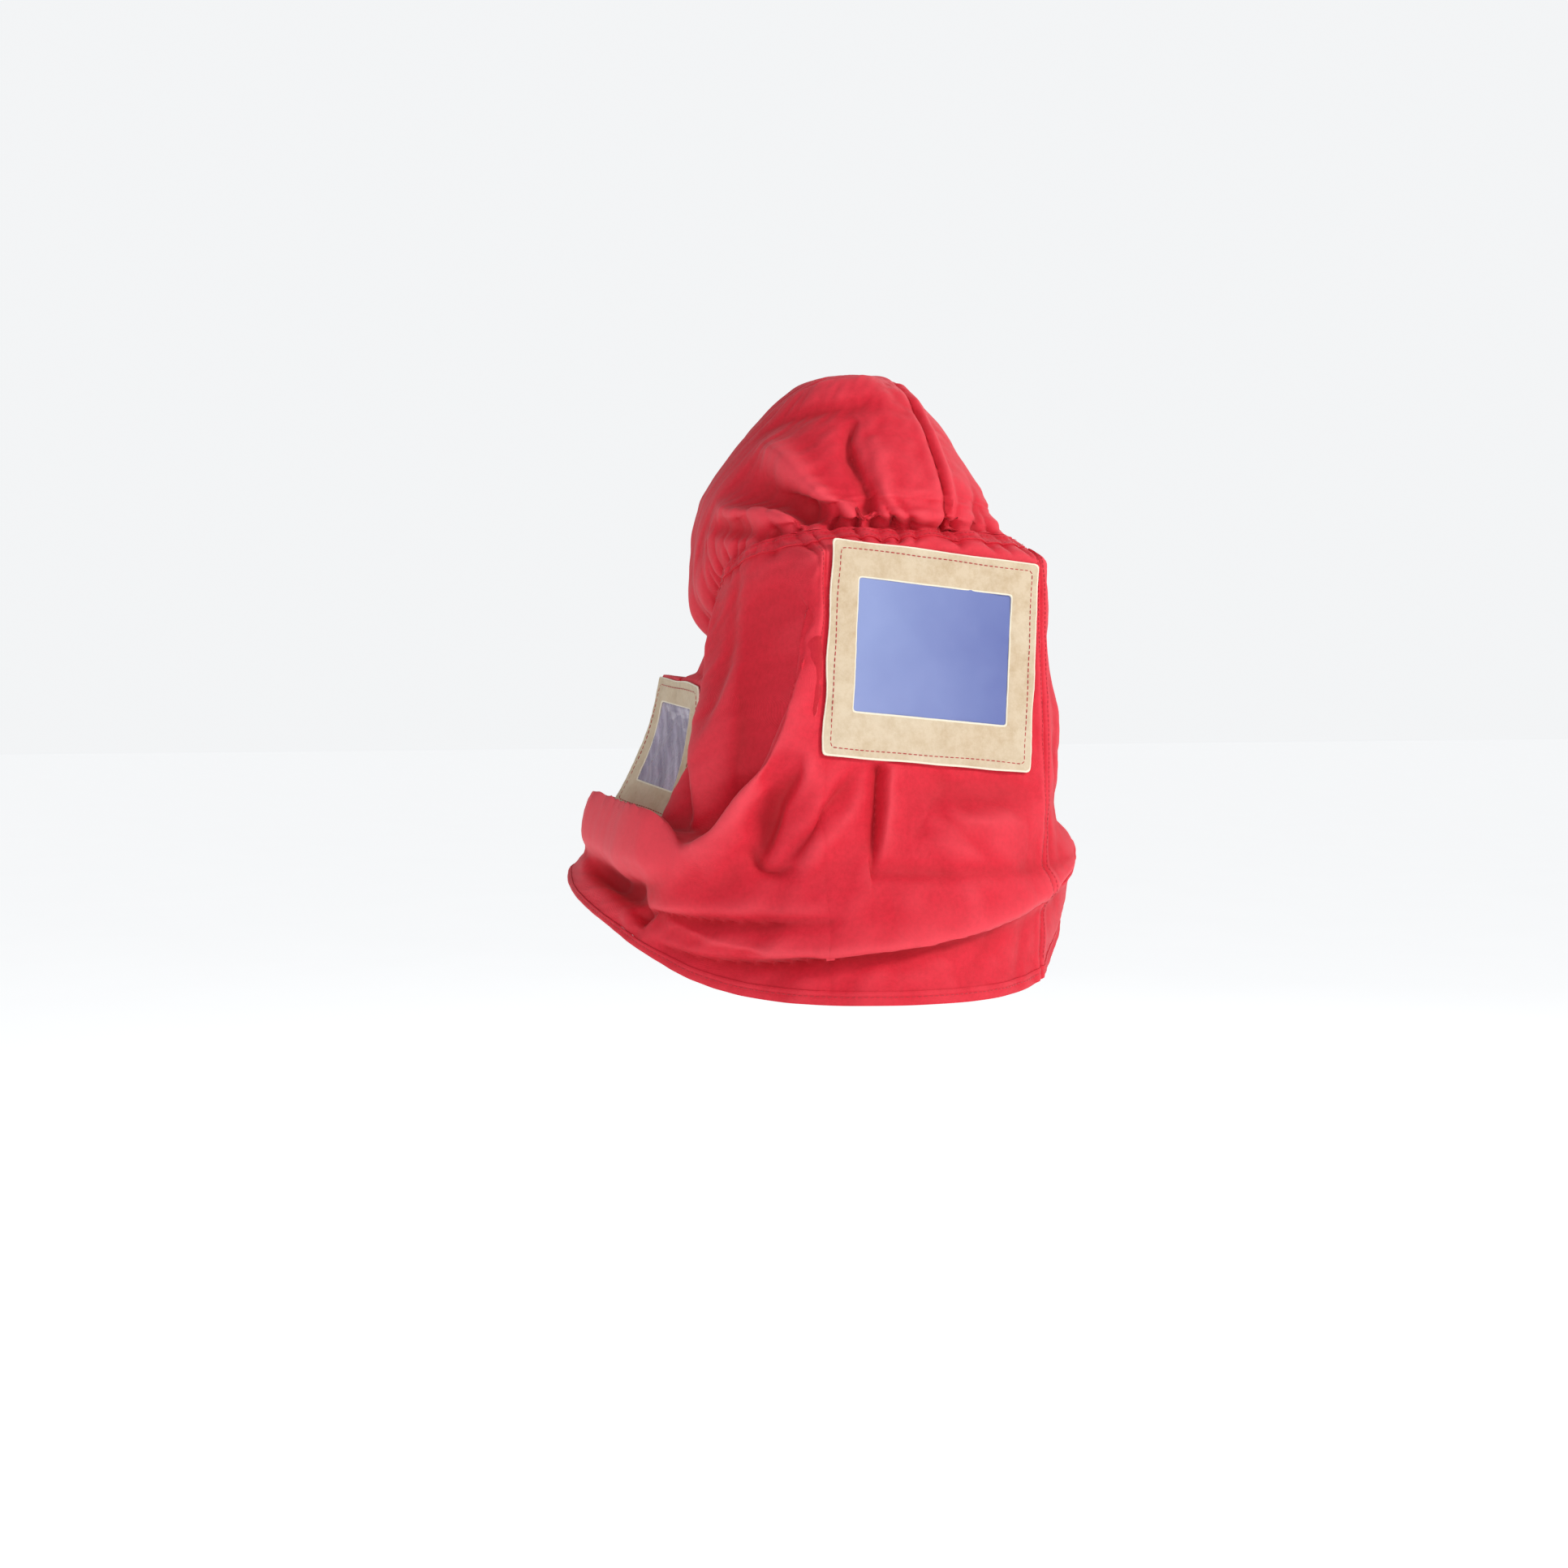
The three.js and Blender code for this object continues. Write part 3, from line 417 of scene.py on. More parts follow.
def onWindow(window, a, b, c):
    c = c + seatHeight(window, a, b)
    spread = a[..., None] * window["across"] + b[..., None] * window["up"] + c[..., None] * window["out"]
    return window["centre"] + spread


# Distances of points from a window's centre: across it, up it and out of it
def onAxes(window, points):
    fromCentre = points - window["centre"]
    return (fromCentre @ window[name] for name in ("across", "up", "out"))


# Presses the cloth onto a window's plane, less and less away from its frame
def laidOn(window, points, share):
    a, b, c = onAxes(window, points)
    beyondA = np.maximum(0, np.abs(a) - window["width"] / 2 - window["beside"])
    beyondB = np.maximum(0, np.abs(b) - window["height"] / 2 - window["over"])
    hold = share * (1 - smoothStep(np.hypot(beyondA, beyondB) / window["fade"]))
    near = 1 - smoothStep((np.abs(c) - 0.06) / 0.03)
    return points + window["out"] * ((seatHeight(window, a, b) - c) * hold * near)[..., None]


# Outward normals of a grid of points
def gridNormals(points):
    down = np.gradient(points, axis=0)
    across = np.gradient(points, axis=1)
    return unit(np.cross(down, across))


# Keeps the cloth beside the front frame from standing proud of it
flush = {
    "reach": 0.03,
    "fade": 0.03,
    "endsIn": 0.01,
    "endFade": 0.05,
    "above": 0.001,
    "slope": 0.2,
    "round": 0.002,
}


def keptFlush(points):
    a, b, c = onAxes(frontWindow, points)
    beyond = np.maximum(0, np.abs(a) - frontWindow["width"] / 2)
    pastEnd = np.abs(b) - frontWindow["height"] / 2 + flush["endsIn"]
    near = 1 - smoothStep((beyond - flush["reach"]) / flush["fade"])
    near = near * (1 - smoothStep(pastEnd / flush["endFade"]))
    proud = c - flush["above"] - flush["slope"] * beyond
    proud = (proud + np.hypot(proud, flush["round"])) / 2
    return points - (proud * near)[..., None] * frontWindow["out"]


# The lip of the roll, which stands up in front of the side frame's lower border
rollLip = {
    "up": 0.027,
    "at": 0.016,
    "width": 0.007,
    "out": 0.0065,
    "outBy": 0.006,
    "thick": 0.0075,
    "thickFrom": 0.007,
    "thickBy": 0.016,
    "fallFrom": 0.022,
    "fallBy": 0.04,
    "from": -128,
    "to": -60,
    "fade": 15,
}


def lipped(azimuth, points):
    below = -(points - sideWindow["centre"]) @ sideWindow["up"] - sideWindow["height"] / 2
    share = smoothStep((azimuth - rollLip["from"]) / rollLip["fade"])
    share = share * smoothStep((rollLip["to"] - azimuth) / rollLip["fade"])
    up = rollLip["up"] * share * np.exp(-(((below - rollLip["at"]) / rollLip["width"]) ** 2))
    out = rollLip["out"] * smoothStep(below / rollLip["outBy"])
    out = out + rollLip["thick"] * smoothStep((below - rollLip["thickFrom"]) / rollLip["thickBy"])
    out = out * share * np.exp(-(np.maximum(below - rollLip["fallFrom"], 0) / rollLip["fallBy"]) ** 2)
    return points + up[..., None] * sideWindow["up"] + out[..., None] * heading(azimuth)


# Slow waves near the elastic line, and unevenness all over, by its height, length and seed
fullness = {
    "waves": 0.0032,
    "wallFade": 0.035,
    "capFade": 0.12,
    "capRun": 250,
    "wallUneven": ((0.0007, 46, 3), (0.0003, 17, 4)),
    "capUneven": ((0.0008, 52, 5), (0.0003, 18, 6)),
    "wallSeat": 0.075,
    "topLift": 0.0012,
    "topReach": 0.02,
}


def waved(azimuth, points, share):
    turned = azimuth * degree
    wave = fullness["waves"] * (0.7 * np.cos(20 * turned) + 0.3 * np.cos(10 * turned + 1))
    return points + heading(azimuth) * (wave * share)[..., None]


def seatedOn(along, points):
    seated = smoothStep(along / fullness["wallSeat"])
    return laidOn(sideWindow, laidOn(frontWindow, points, seated), seated)


def dressedWall(azimuth, along):
    points = waved(azimuth, foldedWall(azimuth, along), np.exp(-along / fullness["wallFade"]))
    points = lipped(azimuth, keptFlush(seatedOn(along, points)))
    down = along * wallScale[1]
    rise, _, _ = foldField(fineFolds, azimuth, along, *wallScale)
    rise = rise + gatherField(azimuth, down, gathers["wallReach"], gathers["seed"], flat=9)
    for height, length, seed in fullness["wallUneven"]:
        rise = rise + height * ringRipple(azimuth, wallScale[0], down, length, seed)
    rise = rise * free(points)
    rise = rise + fullness["topLift"] * smoothStep((fullness["topReach"] - along) / fullness["topReach"])
    return points + gridNormals(points) * rise[..., None]


# 0 under the window frames, 1 away from them, so that no fold pushes through a frame
def free(points):
    share = np.ones(points.shape[:-1])
    for window in (frontWindow, sideWindow):
        a, b, c = onAxes(window, points)
        beyond = np.hypot(
            np.maximum(0, np.abs(a) - window["width"] / 2 + 0.001),
            np.maximum(0, np.abs(b) - window["height"] / 2 + 0.001),
        )
        farOut = smoothStep((np.abs(c) - 0.03) / 0.02)
        share = np.minimum(share, np.maximum(smoothStep(beyond / 0.008), farOut))
    return share


def dressedCap(azimuth, along):
    points = waved(azimuth, foldedCap(azimuth, along), np.exp((along - 1) / fullness["capFade"]))
    run = fullness["capRun"]
    rise, _, _ = foldField(capFineFolds, azimuth, along, *capScale)
    rise = rise + gatherField(azimuth, (1 - along) * run, gathers["capReach"], gathers["seed"])
    quiet = smoothStep(along / 0.25)
    for height, length, seed in fullness["capUneven"]:
        rise = rise + quiet * (height * ringRipple(azimuth, capScale[0], along * run, length, seed))
    rise = rise * smoothStep(along / 0.15)
    return points + gridNormals(points) * rise[..., None]


# A grid of points, each moved to the mean of the cells round it, twice over
def blurred(points, cells):
    for axis in (0, 1):
        reach = max(1, min(cells[axis], points.shape[axis] - 1))
        for _ in range(2):
            pad = [(0, 0)] * points.ndim
            pad[axis] = (reach, reach)
            padded = np.pad(points, pad, mode="reflect", reflect_type="odd")
            sums = np.cumsum(padded, axis=axis)
            sums = np.concatenate([np.zeros_like(np.take(sums, [0], axis=axis)), sums], axis=axis)
            high = np.take(sums, range(2 * reach + 1, sums.shape[axis]), axis=axis)
            low = np.take(sums, range(0, sums.shape[axis] - 2 * reach - 1), axis=axis)
            points = (high - low) / (2 * reach + 1)
    return points


# Sizes of hollow that are looked for: reach, depth and share of the whole
hollowScales = ((0.016, 0.0075, 0.75), (0.004, 0.0013, 0.25))


# How far each place lies in a hollow of the cloth, from -1 on a crest to 1 in a deep fold. It sets the painted
# shade in the folds and the painted highlight on the crests.
def hollowOf(points):
    steps = [np.median(np.linalg.norm(np.diff(points, axis=axis), axis=-1)) for axis in (0, 1)]
    steps = [max(0.0004, float(step)) for step in steps]
    normals = gridNormals(points)
    hollow = np.zeros(points.shape[:2])
    for reach, depth, share in hollowScales:
        wide = blurred(points, [round(reach / step) for step in steps])
        below = np.sum((wide - points) * normals, axis=-1)
        hollow += share * np.tanh(below / depth)
    return hollow


# A sheet of cloth: a grid primitive whose points are moved onto the surface, with its flat size as its UV map
def clothSheet(name, points, u, v, closed=False):
    rows, columns = points.shape[:2]
    deselectAll()
    bpy.ops.mesh.primitive_grid_add(x_subdivisions=columns - 1, y_subdivisions=rows - 1, size=1)
    sheet = bpy.context.object
    sheet.name = name
    mesh = sheet.data
    count = len(mesh.vertices)
    co = np.empty(count * 3)
    mesh.vertices.foreach_get("co", co)
    co = co.reshape(-1, 3)
    i = np.rint((co[:, 0] + 0.5) * (columns - 1)).astype(int)
    j = np.rint((0.5 - co[:, 1]) * (rows - 1)).astype(int)
    mesh.vertices.foreach_set("co", points[j, i].ravel())
    loops = np.empty(len(mesh.loops), int)
    mesh.loops.foreach_get("vertex_index", loops)
    uv = np.stack([u[j, i], v[j, i]], axis=-1)[loops]
    mesh.uv_layers.active.data.foreach_set("uv", uv.ravel().astype(np.float32))
    # stored for the cloth material, which paints shade into the folds and a highlight onto the crests from it
    hollow = mesh.attributes.new("hollow", "FLOAT", "POINT")
    hollow.data.foreach_set("value", hollowOf(points)[j, i].astype(np.float32))
    mesh.update()
    if closed:
        activate(sheet)
        bpy.ops.object.mode_set(mode="EDIT")
        bpy.ops.mesh.select_all(action="SELECT")
        bpy.ops.mesh.remove_doubles(threshold=0.00005)
        bpy.ops.object.mode_set(mode="OBJECT")
    return sheet


def applyAll(obj):
    activate(obj)
    for modifier in list(obj.modifiers):
        bpy.ops.object.modifier_apply(modifier=modifier.name)


# Gives the sheet its wall, inwards
def giveWall(sheet, wall):
    solid = sheet.modifiers.new("wall", "SOLIDIFY")
    solid.thickness = wall
    solid.offset = -1
    solid.use_even_offset = False
    applyAll(sheet)
    bpy.ops.object.shade_smooth_by_angle(angle=50 * degree)


print("forms ready")


# Walls: three panels that meet at two seams beside the front window and at one down the back

walls = {
    "rightSeamAt": ((0, 0.086), (0.1, 0.089), (0.3, 0.0945), (0.45, 0.096)),
    "leftSeamAt": ((0, 0.1005),),
    "rightSeamEnd": 0.27,
    "end": 1 - 12.03 / wallScale[1],
    "rows": 176,
    "rightColumns": 262,
    "frontColumns": 176,
    "leftColumns": 190,
    "mmPerDegree": 2.9,
    "seamDepth": 0.0017,
    "seamWide": 1.5,
    "seamSwell": 0.0010,
    "swellAt": 5,
    "swellWide": 3,
    "seamSmooth": 19,
    "cutPast": 0.005,
    # degrees that a panel keeps from its seam, and that the seams' turned edges reach to each side
    "rightGap": 0.003,
    "leftGap": 0.03,
    "backGap": 0.05,
    "rightTurned": 0.9,
    "turned": 2.6,
}


# Azimuth of a front seam at each place down the wall, on the side named by its sign
def seamAzimuths(along, sign):
    azimuth = sign * np.linspace(12, 75, 253)
    across, down = np.meshgrid(azimuth, along)
    seamAt = np.interp(down, *np.transpose(walls["leftSeamAt"] if sign > 0 else walls["rightSeamAt"]))
    beyond = sign * seatedOn(down, foldedWall(across, down))[..., 0] - seamAt
    first = np.argmax(beyond > 0, axis=1)
    rows = np.arange(along.size)
    low, high = beyond[rows, first - 1], beyond[rows, first]
    share = low / (low - high)
    found = azimuth[first - 1] + share * (azimuth[first] - azimuth[first - 1])
    wide = walls["seamSmooth"]
    for _ in range(3):
        padded = np.pad(found, wide // 2, mode="edge")
        found = np.convolve(padded, np.ones(wide) / wide, mode="valid")
    return found


alongs = np.linspace(0, walls["end"], walls["rows"])
rightSeam = seamAzimuths(alongs, -1)
leftSeam = seamAzimuths(alongs, 1)
print("seams found", rightSeam.min(), rightSeam.max(), leftSeam.min(), leftSeam.max())


# Pinch of a sewn seam, with the swell of its turned edges on both sides
def seamRelief(degreesAway):
    mm = degreesAway * walls["mmPerDegree"]
    swell = walls["seamSwell"] * np.exp(-(((np.abs(mm) - walls["swellAt"]) / walls["swellWide"]) ** 2))
    return swell - walls["seamDepth"] * np.exp(-((mm / walls["seamWide"]) ** 2))


def panelPoints(azimuth, along):
    right = np.interp(along[:, 0], alongs, rightSeam)[:, None]
    left = np.interp(along[:, 0], alongs, leftSeam)[:, None]
    points = dressedWall(azimuth, along)
    shown = 1 - 0.9 * smoothStep((along - walls["rightSeamEnd"] + 0.03) / 0.06)
    rise = seamRelief(azimuth - right) * shown + seamRelief(azimuth - left)
    rise = rise + seamRelief((azimuth + 360) % 360 - 180)
    return points + gridNormals(points) * (rise * free(points) * smoothStep(along / 0.02))[..., None]


def lengthsAlong(points, axis):
    steps = np.linalg.norm(np.diff(points, axis=axis), axis=-1)
    start = np.zeros_like(np.take(steps, [0], axis=axis))
    return np.cumsum(np.concatenate([start, steps], axis=axis), axis=axis)


# Takes away the cloth behind a window's pane. The frame hides the cut.
def cutWindow(sheet, window):
    wide, high, up = window["opening"]
    activate(sheet)
    a, b, c = onAxes(window, np.array([p.center[:] for p in sheet.data.polygons]))
    past = walls["cutPast"]
    inside = (np.abs(a) < wide / 2 + past) & (np.abs(b - up) < high / 2 + past) & (np.abs(c) < 0.03)
    bpy.ops.object.mode_set(mode="EDIT")
    bpy.ops.mesh.select_all(action="DESELECT")
    bpy.ops.object.mode_set(mode="OBJECT")
    sheet.data.polygons.foreach_set("select", inside)
    bpy.ops.object.mode_set(mode="EDIT")
    bpy.ops.mesh.select_mode(type="FACE")
    bpy.ops.mesh.delete(type="FACE")
    bpy.ops.object.mode_set(mode="OBJECT")


# A wall between two lines of azimuths, its columns crowded towards the last by a share
def makePanel(name, first, last, columns, crowd):
    t = np.linspace(0, 1, columns)
    t = t + crowd * np.sin(math.pi * t) / math.pi
    azimuth = first[:, None] + (last - first)[:, None] * t
    along = np.repeat(alongs[:, None], columns, axis=1)
    points = panelPoints(azimuth, along)
    sheet = clothSheet(name, points, lengthsAlong(points, 1), lengthsAlong(points, 0))
    for window in (frontWindow, sideWindow):
        cutWindow(sheet, window)
    giveWall(sheet, clothWall - seamRoom)
    return sheet


behind = np.full(alongs.size, 180.0)
rightGap, leftGap = walls["rightGap"], walls["leftGap"]
rightPanel = makePanel("rightCloth", -behind, rightSeam - rightGap, walls["rightColumns"], 0.35)
frontPanel = makePanel("frontCloth", rightSeam + rightGap, leftSeam - leftGap, walls["frontColumns"], 0)
leftPanel = makePanel("leftCloth", leftSeam + leftGap, behind - walls["backGap"], walls["leftColumns"], -0.2)


# Turned edges of the seams, on the inside, which keep light from showing through them
def makeAllowance(name, seam, wide):
    azimuth = seam[:, None] + np.linspace(-wide, wide, 7)
    azimuth = np.where(azimuth > 180, azimuth - 360, azimuth)
    along = np.repeat(alongs[:, None], 7, axis=1)
    points = panelPoints(azimuth, along)
    outwards = gridNormals(points)
    outwards = outwards * np.sign(np.sum(outwards * heading(azimuth), axis=-1))[..., None]
    points = points - outwards * (clothWall + 0.0003)
    sheet = clothSheet(name, points, lengthsAlong(points, 1), lengthsAlong(points, 0))
    giveWall(sheet, turnedWall)
    return sheet


rightAllowance = makeAllowance("rightSeamEdges", rightSeam, walls["rightTurned"])
leftAllowance = makeAllowance("leftSeamEdges", leftSeam, walls["turned"])
backAllowance = makeAllowance("backSeamEdges", behind, walls["turned"])
print("walls made")


# Cap: one puffed bag, cut along its seam

crown = {
    "rows": 170,
    "columns": 440,
    "gap": 0.00012,
    "pinch": 0.0052,
    "pinchWide": 2.4,
    # swell beside the seam: height, place and width in millimetres from it
    "right": (0.0016, -7, 5),
    "left": (0.0034, 5.5, 4.5),
}


def capPoints(azimuth, along):
    points = dressedCap(azimuth, along)
    mm = (points[..., 0] - cap["seamAt"]) * 1000
    inFront = 1 - 0.6 * smoothStep((np.abs(azimuth) - 60) / 60)
    deep = 0.3 + 0.7 * smoothStep((along - 0.2) / 0.25) * inFront
    rise = -crown["pinch"] * np.exp(-((np.abs(mm) / crown["pinchWide"]) ** 1.4))
    for height, at, wide in (crown["right"], crown["left"]):
        rise = rise + height * np.exp(-(((mm - at) / wide) ** 2))
    return points + gridNormals(points) * (rise * deep * smoothStep(along / 0.1))[..., None]


def wholeCap():
    around = np.linspace(-180, 180, crown["columns"])
    azimuth, along = np.meshgrid(around, np.linspace(0.004, 1, crown["rows"]) ** 0.8)
    points = capPoints(azimuth, along)
    points[:, -1] = points[:, 0]
    points[0] = points[0].mean(axis=0)
    return points


def makeCrown(name, points, side):
    sheet = clothSheet(name, points, points[..., 0] * 1.3, lengthsAlong(points, 0), closed=True)
    activate(sheet)
    bpy.ops.object.mode_set(mode="EDIT")
    bpy.ops.mesh.select_all(action="SELECT")
    cutAt = (cap["seamAt"] + side * crown["gap"], 0, 0)
    bpy.ops.mesh.bisect(plane_co=cutAt, plane_no=(1, 0, 0), clear_inner=side > 0, clear_outer=side < 0)
    bpy.ops.object.mode_set(mode="OBJECT")
    giveWall(sheet, clothWall - seamRoom)
    return sheet


capGrid = wholeCap()
crownRight = makeCrown("crownRightCloth", capGrid, -1)
crownLeft = makeCrown("crownLeftCloth", capGrid, 1)
print("cap made")


# Elastic casing over the gather, and the turned hem

casing = {
    "from": 0.0030,
    "to": 0.0123,
    "rows": 9,
    "columns": 620,
    "wall": 0.0012,
    "lift": 0.0014,
    "bulge": 0.0004,
    "puckers": 116,
    "puckerDepth": 0.0008,
}
tape = {
    "capAt": (0.95, 0.97, 0.99),
    "wallAt": (0.016, 0.02, 0.024),
    "inside": 0.0035,
    "rows": 7,
    "columns": 441,
}
hemEdge = {
    "height": 0.012,
    "rows": 9,
    "columns": 900,
    "proud": 0.0006,
    "wall": 0.0026,
    "roll": 0.0008,
    # ridge over the turned edge and groove of the stitches: height, place and width as shares of the hem
    "ridge": (0.0004, 0.2, 0.15),
    "groove": (-0.0006, 0.42, 0.07),
    "turn": (0.020, 0.0105, 5),
}


def ringGrid(columns, alongRow):
    return np.meshgrid(np.linspace(-180, 180, columns), alongRow)


# A sheet that goes all the way round and closes at the back
def makeRing(name, points, wall):
    points[:, -1] = points[:, 0]
    sheet = clothSheet(name, points, lengthsAlong(points, 1), lengthsAlong(points, 0), closed=True)
    giveWall(sheet, wall)
    return sheet


def makeCasing():
    length = hang["length"]
    rows = np.linspace(casing["from"], casing["to"], casing["rows"]) / length
    azimuth, along = ringGrid(casing["columns"], rows)
    points = panelPoints(azimuth, along)
    share = (along * length - casing["from"]) / (casing["to"] - casing["from"])
    swell = np.sin(math.pi * share)
    rng = np.random.default_rng(31)
    draw = np.zeros(azimuth.shape)
    for k in range(casing["puckers"]):
        at = k * 360 / casing["puckers"] + rng.uniform(-1.4, 1.4)
        away = (azimuth - at + 180) % 360 - 180
        draw -= rng.uniform(0.5, 1.3) * np.exp(-((away / rng.uniform(0.7, 1.1)) ** 2))
    lift = casing["lift"] + (casing["bulge"] * swell + casing["puckerDepth"] * draw * swell) * free(points)
    return makeRing("casingCloth", points + gridNormals(points) * lift[..., None], casing["wall"])


def makeHem():
    length = hang["length"]
    rows = np.linspace(1 - hemEdge["height"] / length, 1, hemEdge["rows"])
    azimuth, along = ringGrid(hemEdge["columns"], rows)
    points = panelPoints(azimuth, along)
    share = (along - along[0]) * length / hemEdge["height"]
    lift = hemEdge["proud"] - hemEdge["roll"] * share ** 6
    for height, at, wide in (hemEdge["ridge"], hemEdge["groove"]):
        lift = lift + height * np.exp(-(((share - at) / wide) ** 2))
    return makeRing("hemCloth", points + gridNormals(points) * lift[..., None], hemEdge["wall"])


# Inner layer of the turned hem, up behind the walls
def makeHemTurn():
    upper, lower, rows = hemEdge["turn"]
    length = hang["length"]
    azimuth, along = ringGrid(hemEdge["columns"], np.linspace(1 - upper / length, 1 - lower / length, rows))
    points = panelPoints(azimuth, along)
    return makeRing("hemTurnCloth", points - gridNormals(points) * (clothWall + turnedWall), turnedWall)


# Elastic tape inside the casing, from behind the cap's rim to behind the walls
def makeTape():
    def inner(surface, rows):
        azimuth, along = ringGrid(tape["columns"], rows)
        points = surface(azimuth, along)
        return points[1] - gridNormals(points)[1] * tape["inside"]

    share = np.linspace(0, 1, tape["rows"])[:, None, None]
    points = inner(capPoints, tape["capAt"]) * (1 - share) + inner(panelPoints, tape["wallAt"]) * share
    return makeRing("elasticTape", points, turnedWall)


casingCloth = makeCasing()
elasticTape = makeTape()
hemCloth = makeHem()
hemTurn = makeHemTurn()
print("casing and hem made")


# Window frames of split leather: a border between a rounded outline and a rounded opening

frames = {
    "rows": 15,
    "columns": 260,
    "seat": 0.0003,
    "outerRound": 0.0035,
    "innerRound": 0.0022,
    "waver": 0.0006,
    "warp": 0.00035,
    "pebble": 0.00012,
    # edges and the stitches' groove: depth and width
    "outerEdge": (0.00035, 0.0012),
    "groove": (0.0005, 0.0011),
    "dish": (0.0006, 0.003),
    "sunk": 0.0009,
}


# Point on a rounded rectangle at a share t of the way round it, from the middle of its right side
def roundedOutline(width, height, corner, up, t):
    halfWide, halfHigh = width / 2, height / 2
    corners = np.cumsum([0, halfHigh, width, height, width, halfHigh])
    along = (t % 1) * 2 * (width + height)
    x = np.interp(along, corners, np.array([1, 1, -1, -1, 1, 1]) * halfWide)
    y = np.interp(along, corners, np.array([0, 1, 1, -1, -1, 0]) * halfHigh)
    cx = np.clip(x, -halfWide + corner, halfWide - corner)
    cy = np.clip(y, -halfHigh + corner, halfHigh - corner)
    dx, dy = x - cx, y - cy
    inCorner = (dx != 0) & (dy != 0)
    pull = np.where(inCorner, corner / np.maximum(np.hypot(dx, dy), 1e-9), 1)
    return cx + dx * pull, cy + dy * pull + up


def dip(away, depthAndWidth):
    return depthAndWidth[0] * np.exp(-(away / depthAndWidth[1]) ** 2)


def makeFrame(name, window, seed):
    t, share = np.meshgrid(np.linspace(0, 1, frames["columns"]), np.linspace(0, 1, frames["rows"]))
    outerX, outerY = roundedOutline(window["width"], window["height"], frames["outerRound"], 0, t)
    wide, high, up = window["opening"]
    innerX, innerY = roundedOutline(wide, high, frames["innerRound"], up, t)
    a, b = outerX + (innerX - outerX) * share, outerY + (innerY - outerY) * share
    a = a + frames["waver"] * ripple(a * 1000, b * 1000, 60, seed + 2) * (1 - share)
    b = b + frames["waver"] * ripple(a * 1000, b * 1000, 60, seed + 3) * (1 - share)
    borderWide = np.hypot(outerX - innerX, outerY - innerY)
    fromOuter = share * borderWide
    top = frames["seat"] + window["wall"] - dip(fromOuter, frames["outerEdge"])
    top = top - dip(fromOuter - window["stitchIn"], frames["groove"])
    top = top - dip((1 - share) * borderWide, frames["dish"])
    top = top + frames["warp"] * ripple(a * 1000, b * 1000, 38, seed)
    top = top + frames["pebble"] * ripple(a * 1000, b * 1000, 9, seed + 1)
    points = onWindow(window, a, b, top)
    points[:, -1] = points[:, 0]
    # the loop runs anticlockwise seen from outside, so it is turned round to keep the faces outwards
    points, run, depth = points[:, ::-1], lengthsAlong(points, 1)[:, ::-1], share[:, ::-1]
    sheet = clothSheet(name, points, run, depth, closed=True)
    giveWall(sheet, window["wall"] - frames["sunk"])
    return sheet


def bevelled(sheet):
    bevel = sheet.modifiers.new("edge", "BEVEL")
    bevel.width = 0.0004
    bevel.segments = 2
    bevel.angle_limit = 55 * degree
    applyAll(sheet)
    bpy.ops.object.shade_smooth_by_angle(angle=60 * degree)
    return sheet


frontFrame = bevelled(makeFrame("frontBorder", frontWindow, 41))
sideFrame = bevelled(makeFrame("sideBorder", sideWindow, 47))
print("window frames made")


# Panes: a flat tinted sheet in front, and a crumpled clear film at the side

panes = {
    "frontSize": (0.152, 0.120),
    "sideSize": (0.088, 0.084),
    "wall": 0.0008,
    "seat": 0.0014,
    "cells": 110,
    "lensDepth": 0.0005,
    "creases": 13,
    "creaseHeight": 0.0011,
    "filmDepth": 0.0016,
}


def makePane(name, window, size, height):
    cells = panes["cells"]
    across, up = np.meshgrid(np.linspace(-0.5, 0.5, cells), np.linspace(0.5, -0.5, cells))
    a, b = across * size[0], up * size[1] + window["opening"][2]
    points = onWindow(window, a, b, panes["seat"] + height(a, b))
    sheet = clothSheet(name, points, a, b)
    giveWall(sheet, panes["wall"])
    return sheet


def lensHeight(a, b):
    inside = insideOpening(frontWindow, a, b, 0.02)
    return -panes["lensDepth"] * inside * (1 + 0.12 * ripple(a * 1000, b * 1000, 140, 61, waves=3))


# 1 well inside a window's opening, 0 at and under its frame
def insideOpening(window, a, b, over):
    wide, high, up = window["opening"]
    edge = np.minimum(wide / 2 - np.abs(a), high / 2 - np.abs(b - up))
    return smoothStep(edge / over)


# Creases of the film: sharp lines from edge to edge, mostly diagonal, and flat facets between them
def filmHeight(a, b):
    rng = np.random.default_rng(73)
    height = np.zeros(a.shape)
    for _ in range(panes["creases"]):
        turn = rng.normal(-50, 26) * degree
        at = rng.uniform(-0.034, 0.034)
        away = a * math.cos(turn) + b * math.sin(turn) - at
        along = -a * math.sin(turn) + b * math.cos(turn)
        reach = np.exp(-(((along - rng.uniform(-0.02, 0.02)) / rng.uniform(0.015, 0.04)) ** 2))
        height += rng.uniform(-1, 1.1) * np.exp(-np.abs(away) / rng.uniform(0.003, 0.008)) * reach
    height = panes["creaseHeight"] * height - panes["filmDepth"] + 0.0003 * ripple(a * 1000, b * 1000, 14, 74)
    return np.clip(height, -0.006, 0.0004) * insideOpening(sideWindow, a, b, 0.008)


frontPane = makePane("frontPane", frontWindow, panes["frontSize"], lensHeight)
sidePane = makePane("sidePane", sideWindow, panes["sideSize"], filmHeight)
print("panes made")


# Stitches: one capsule, repeated along each line of sewing

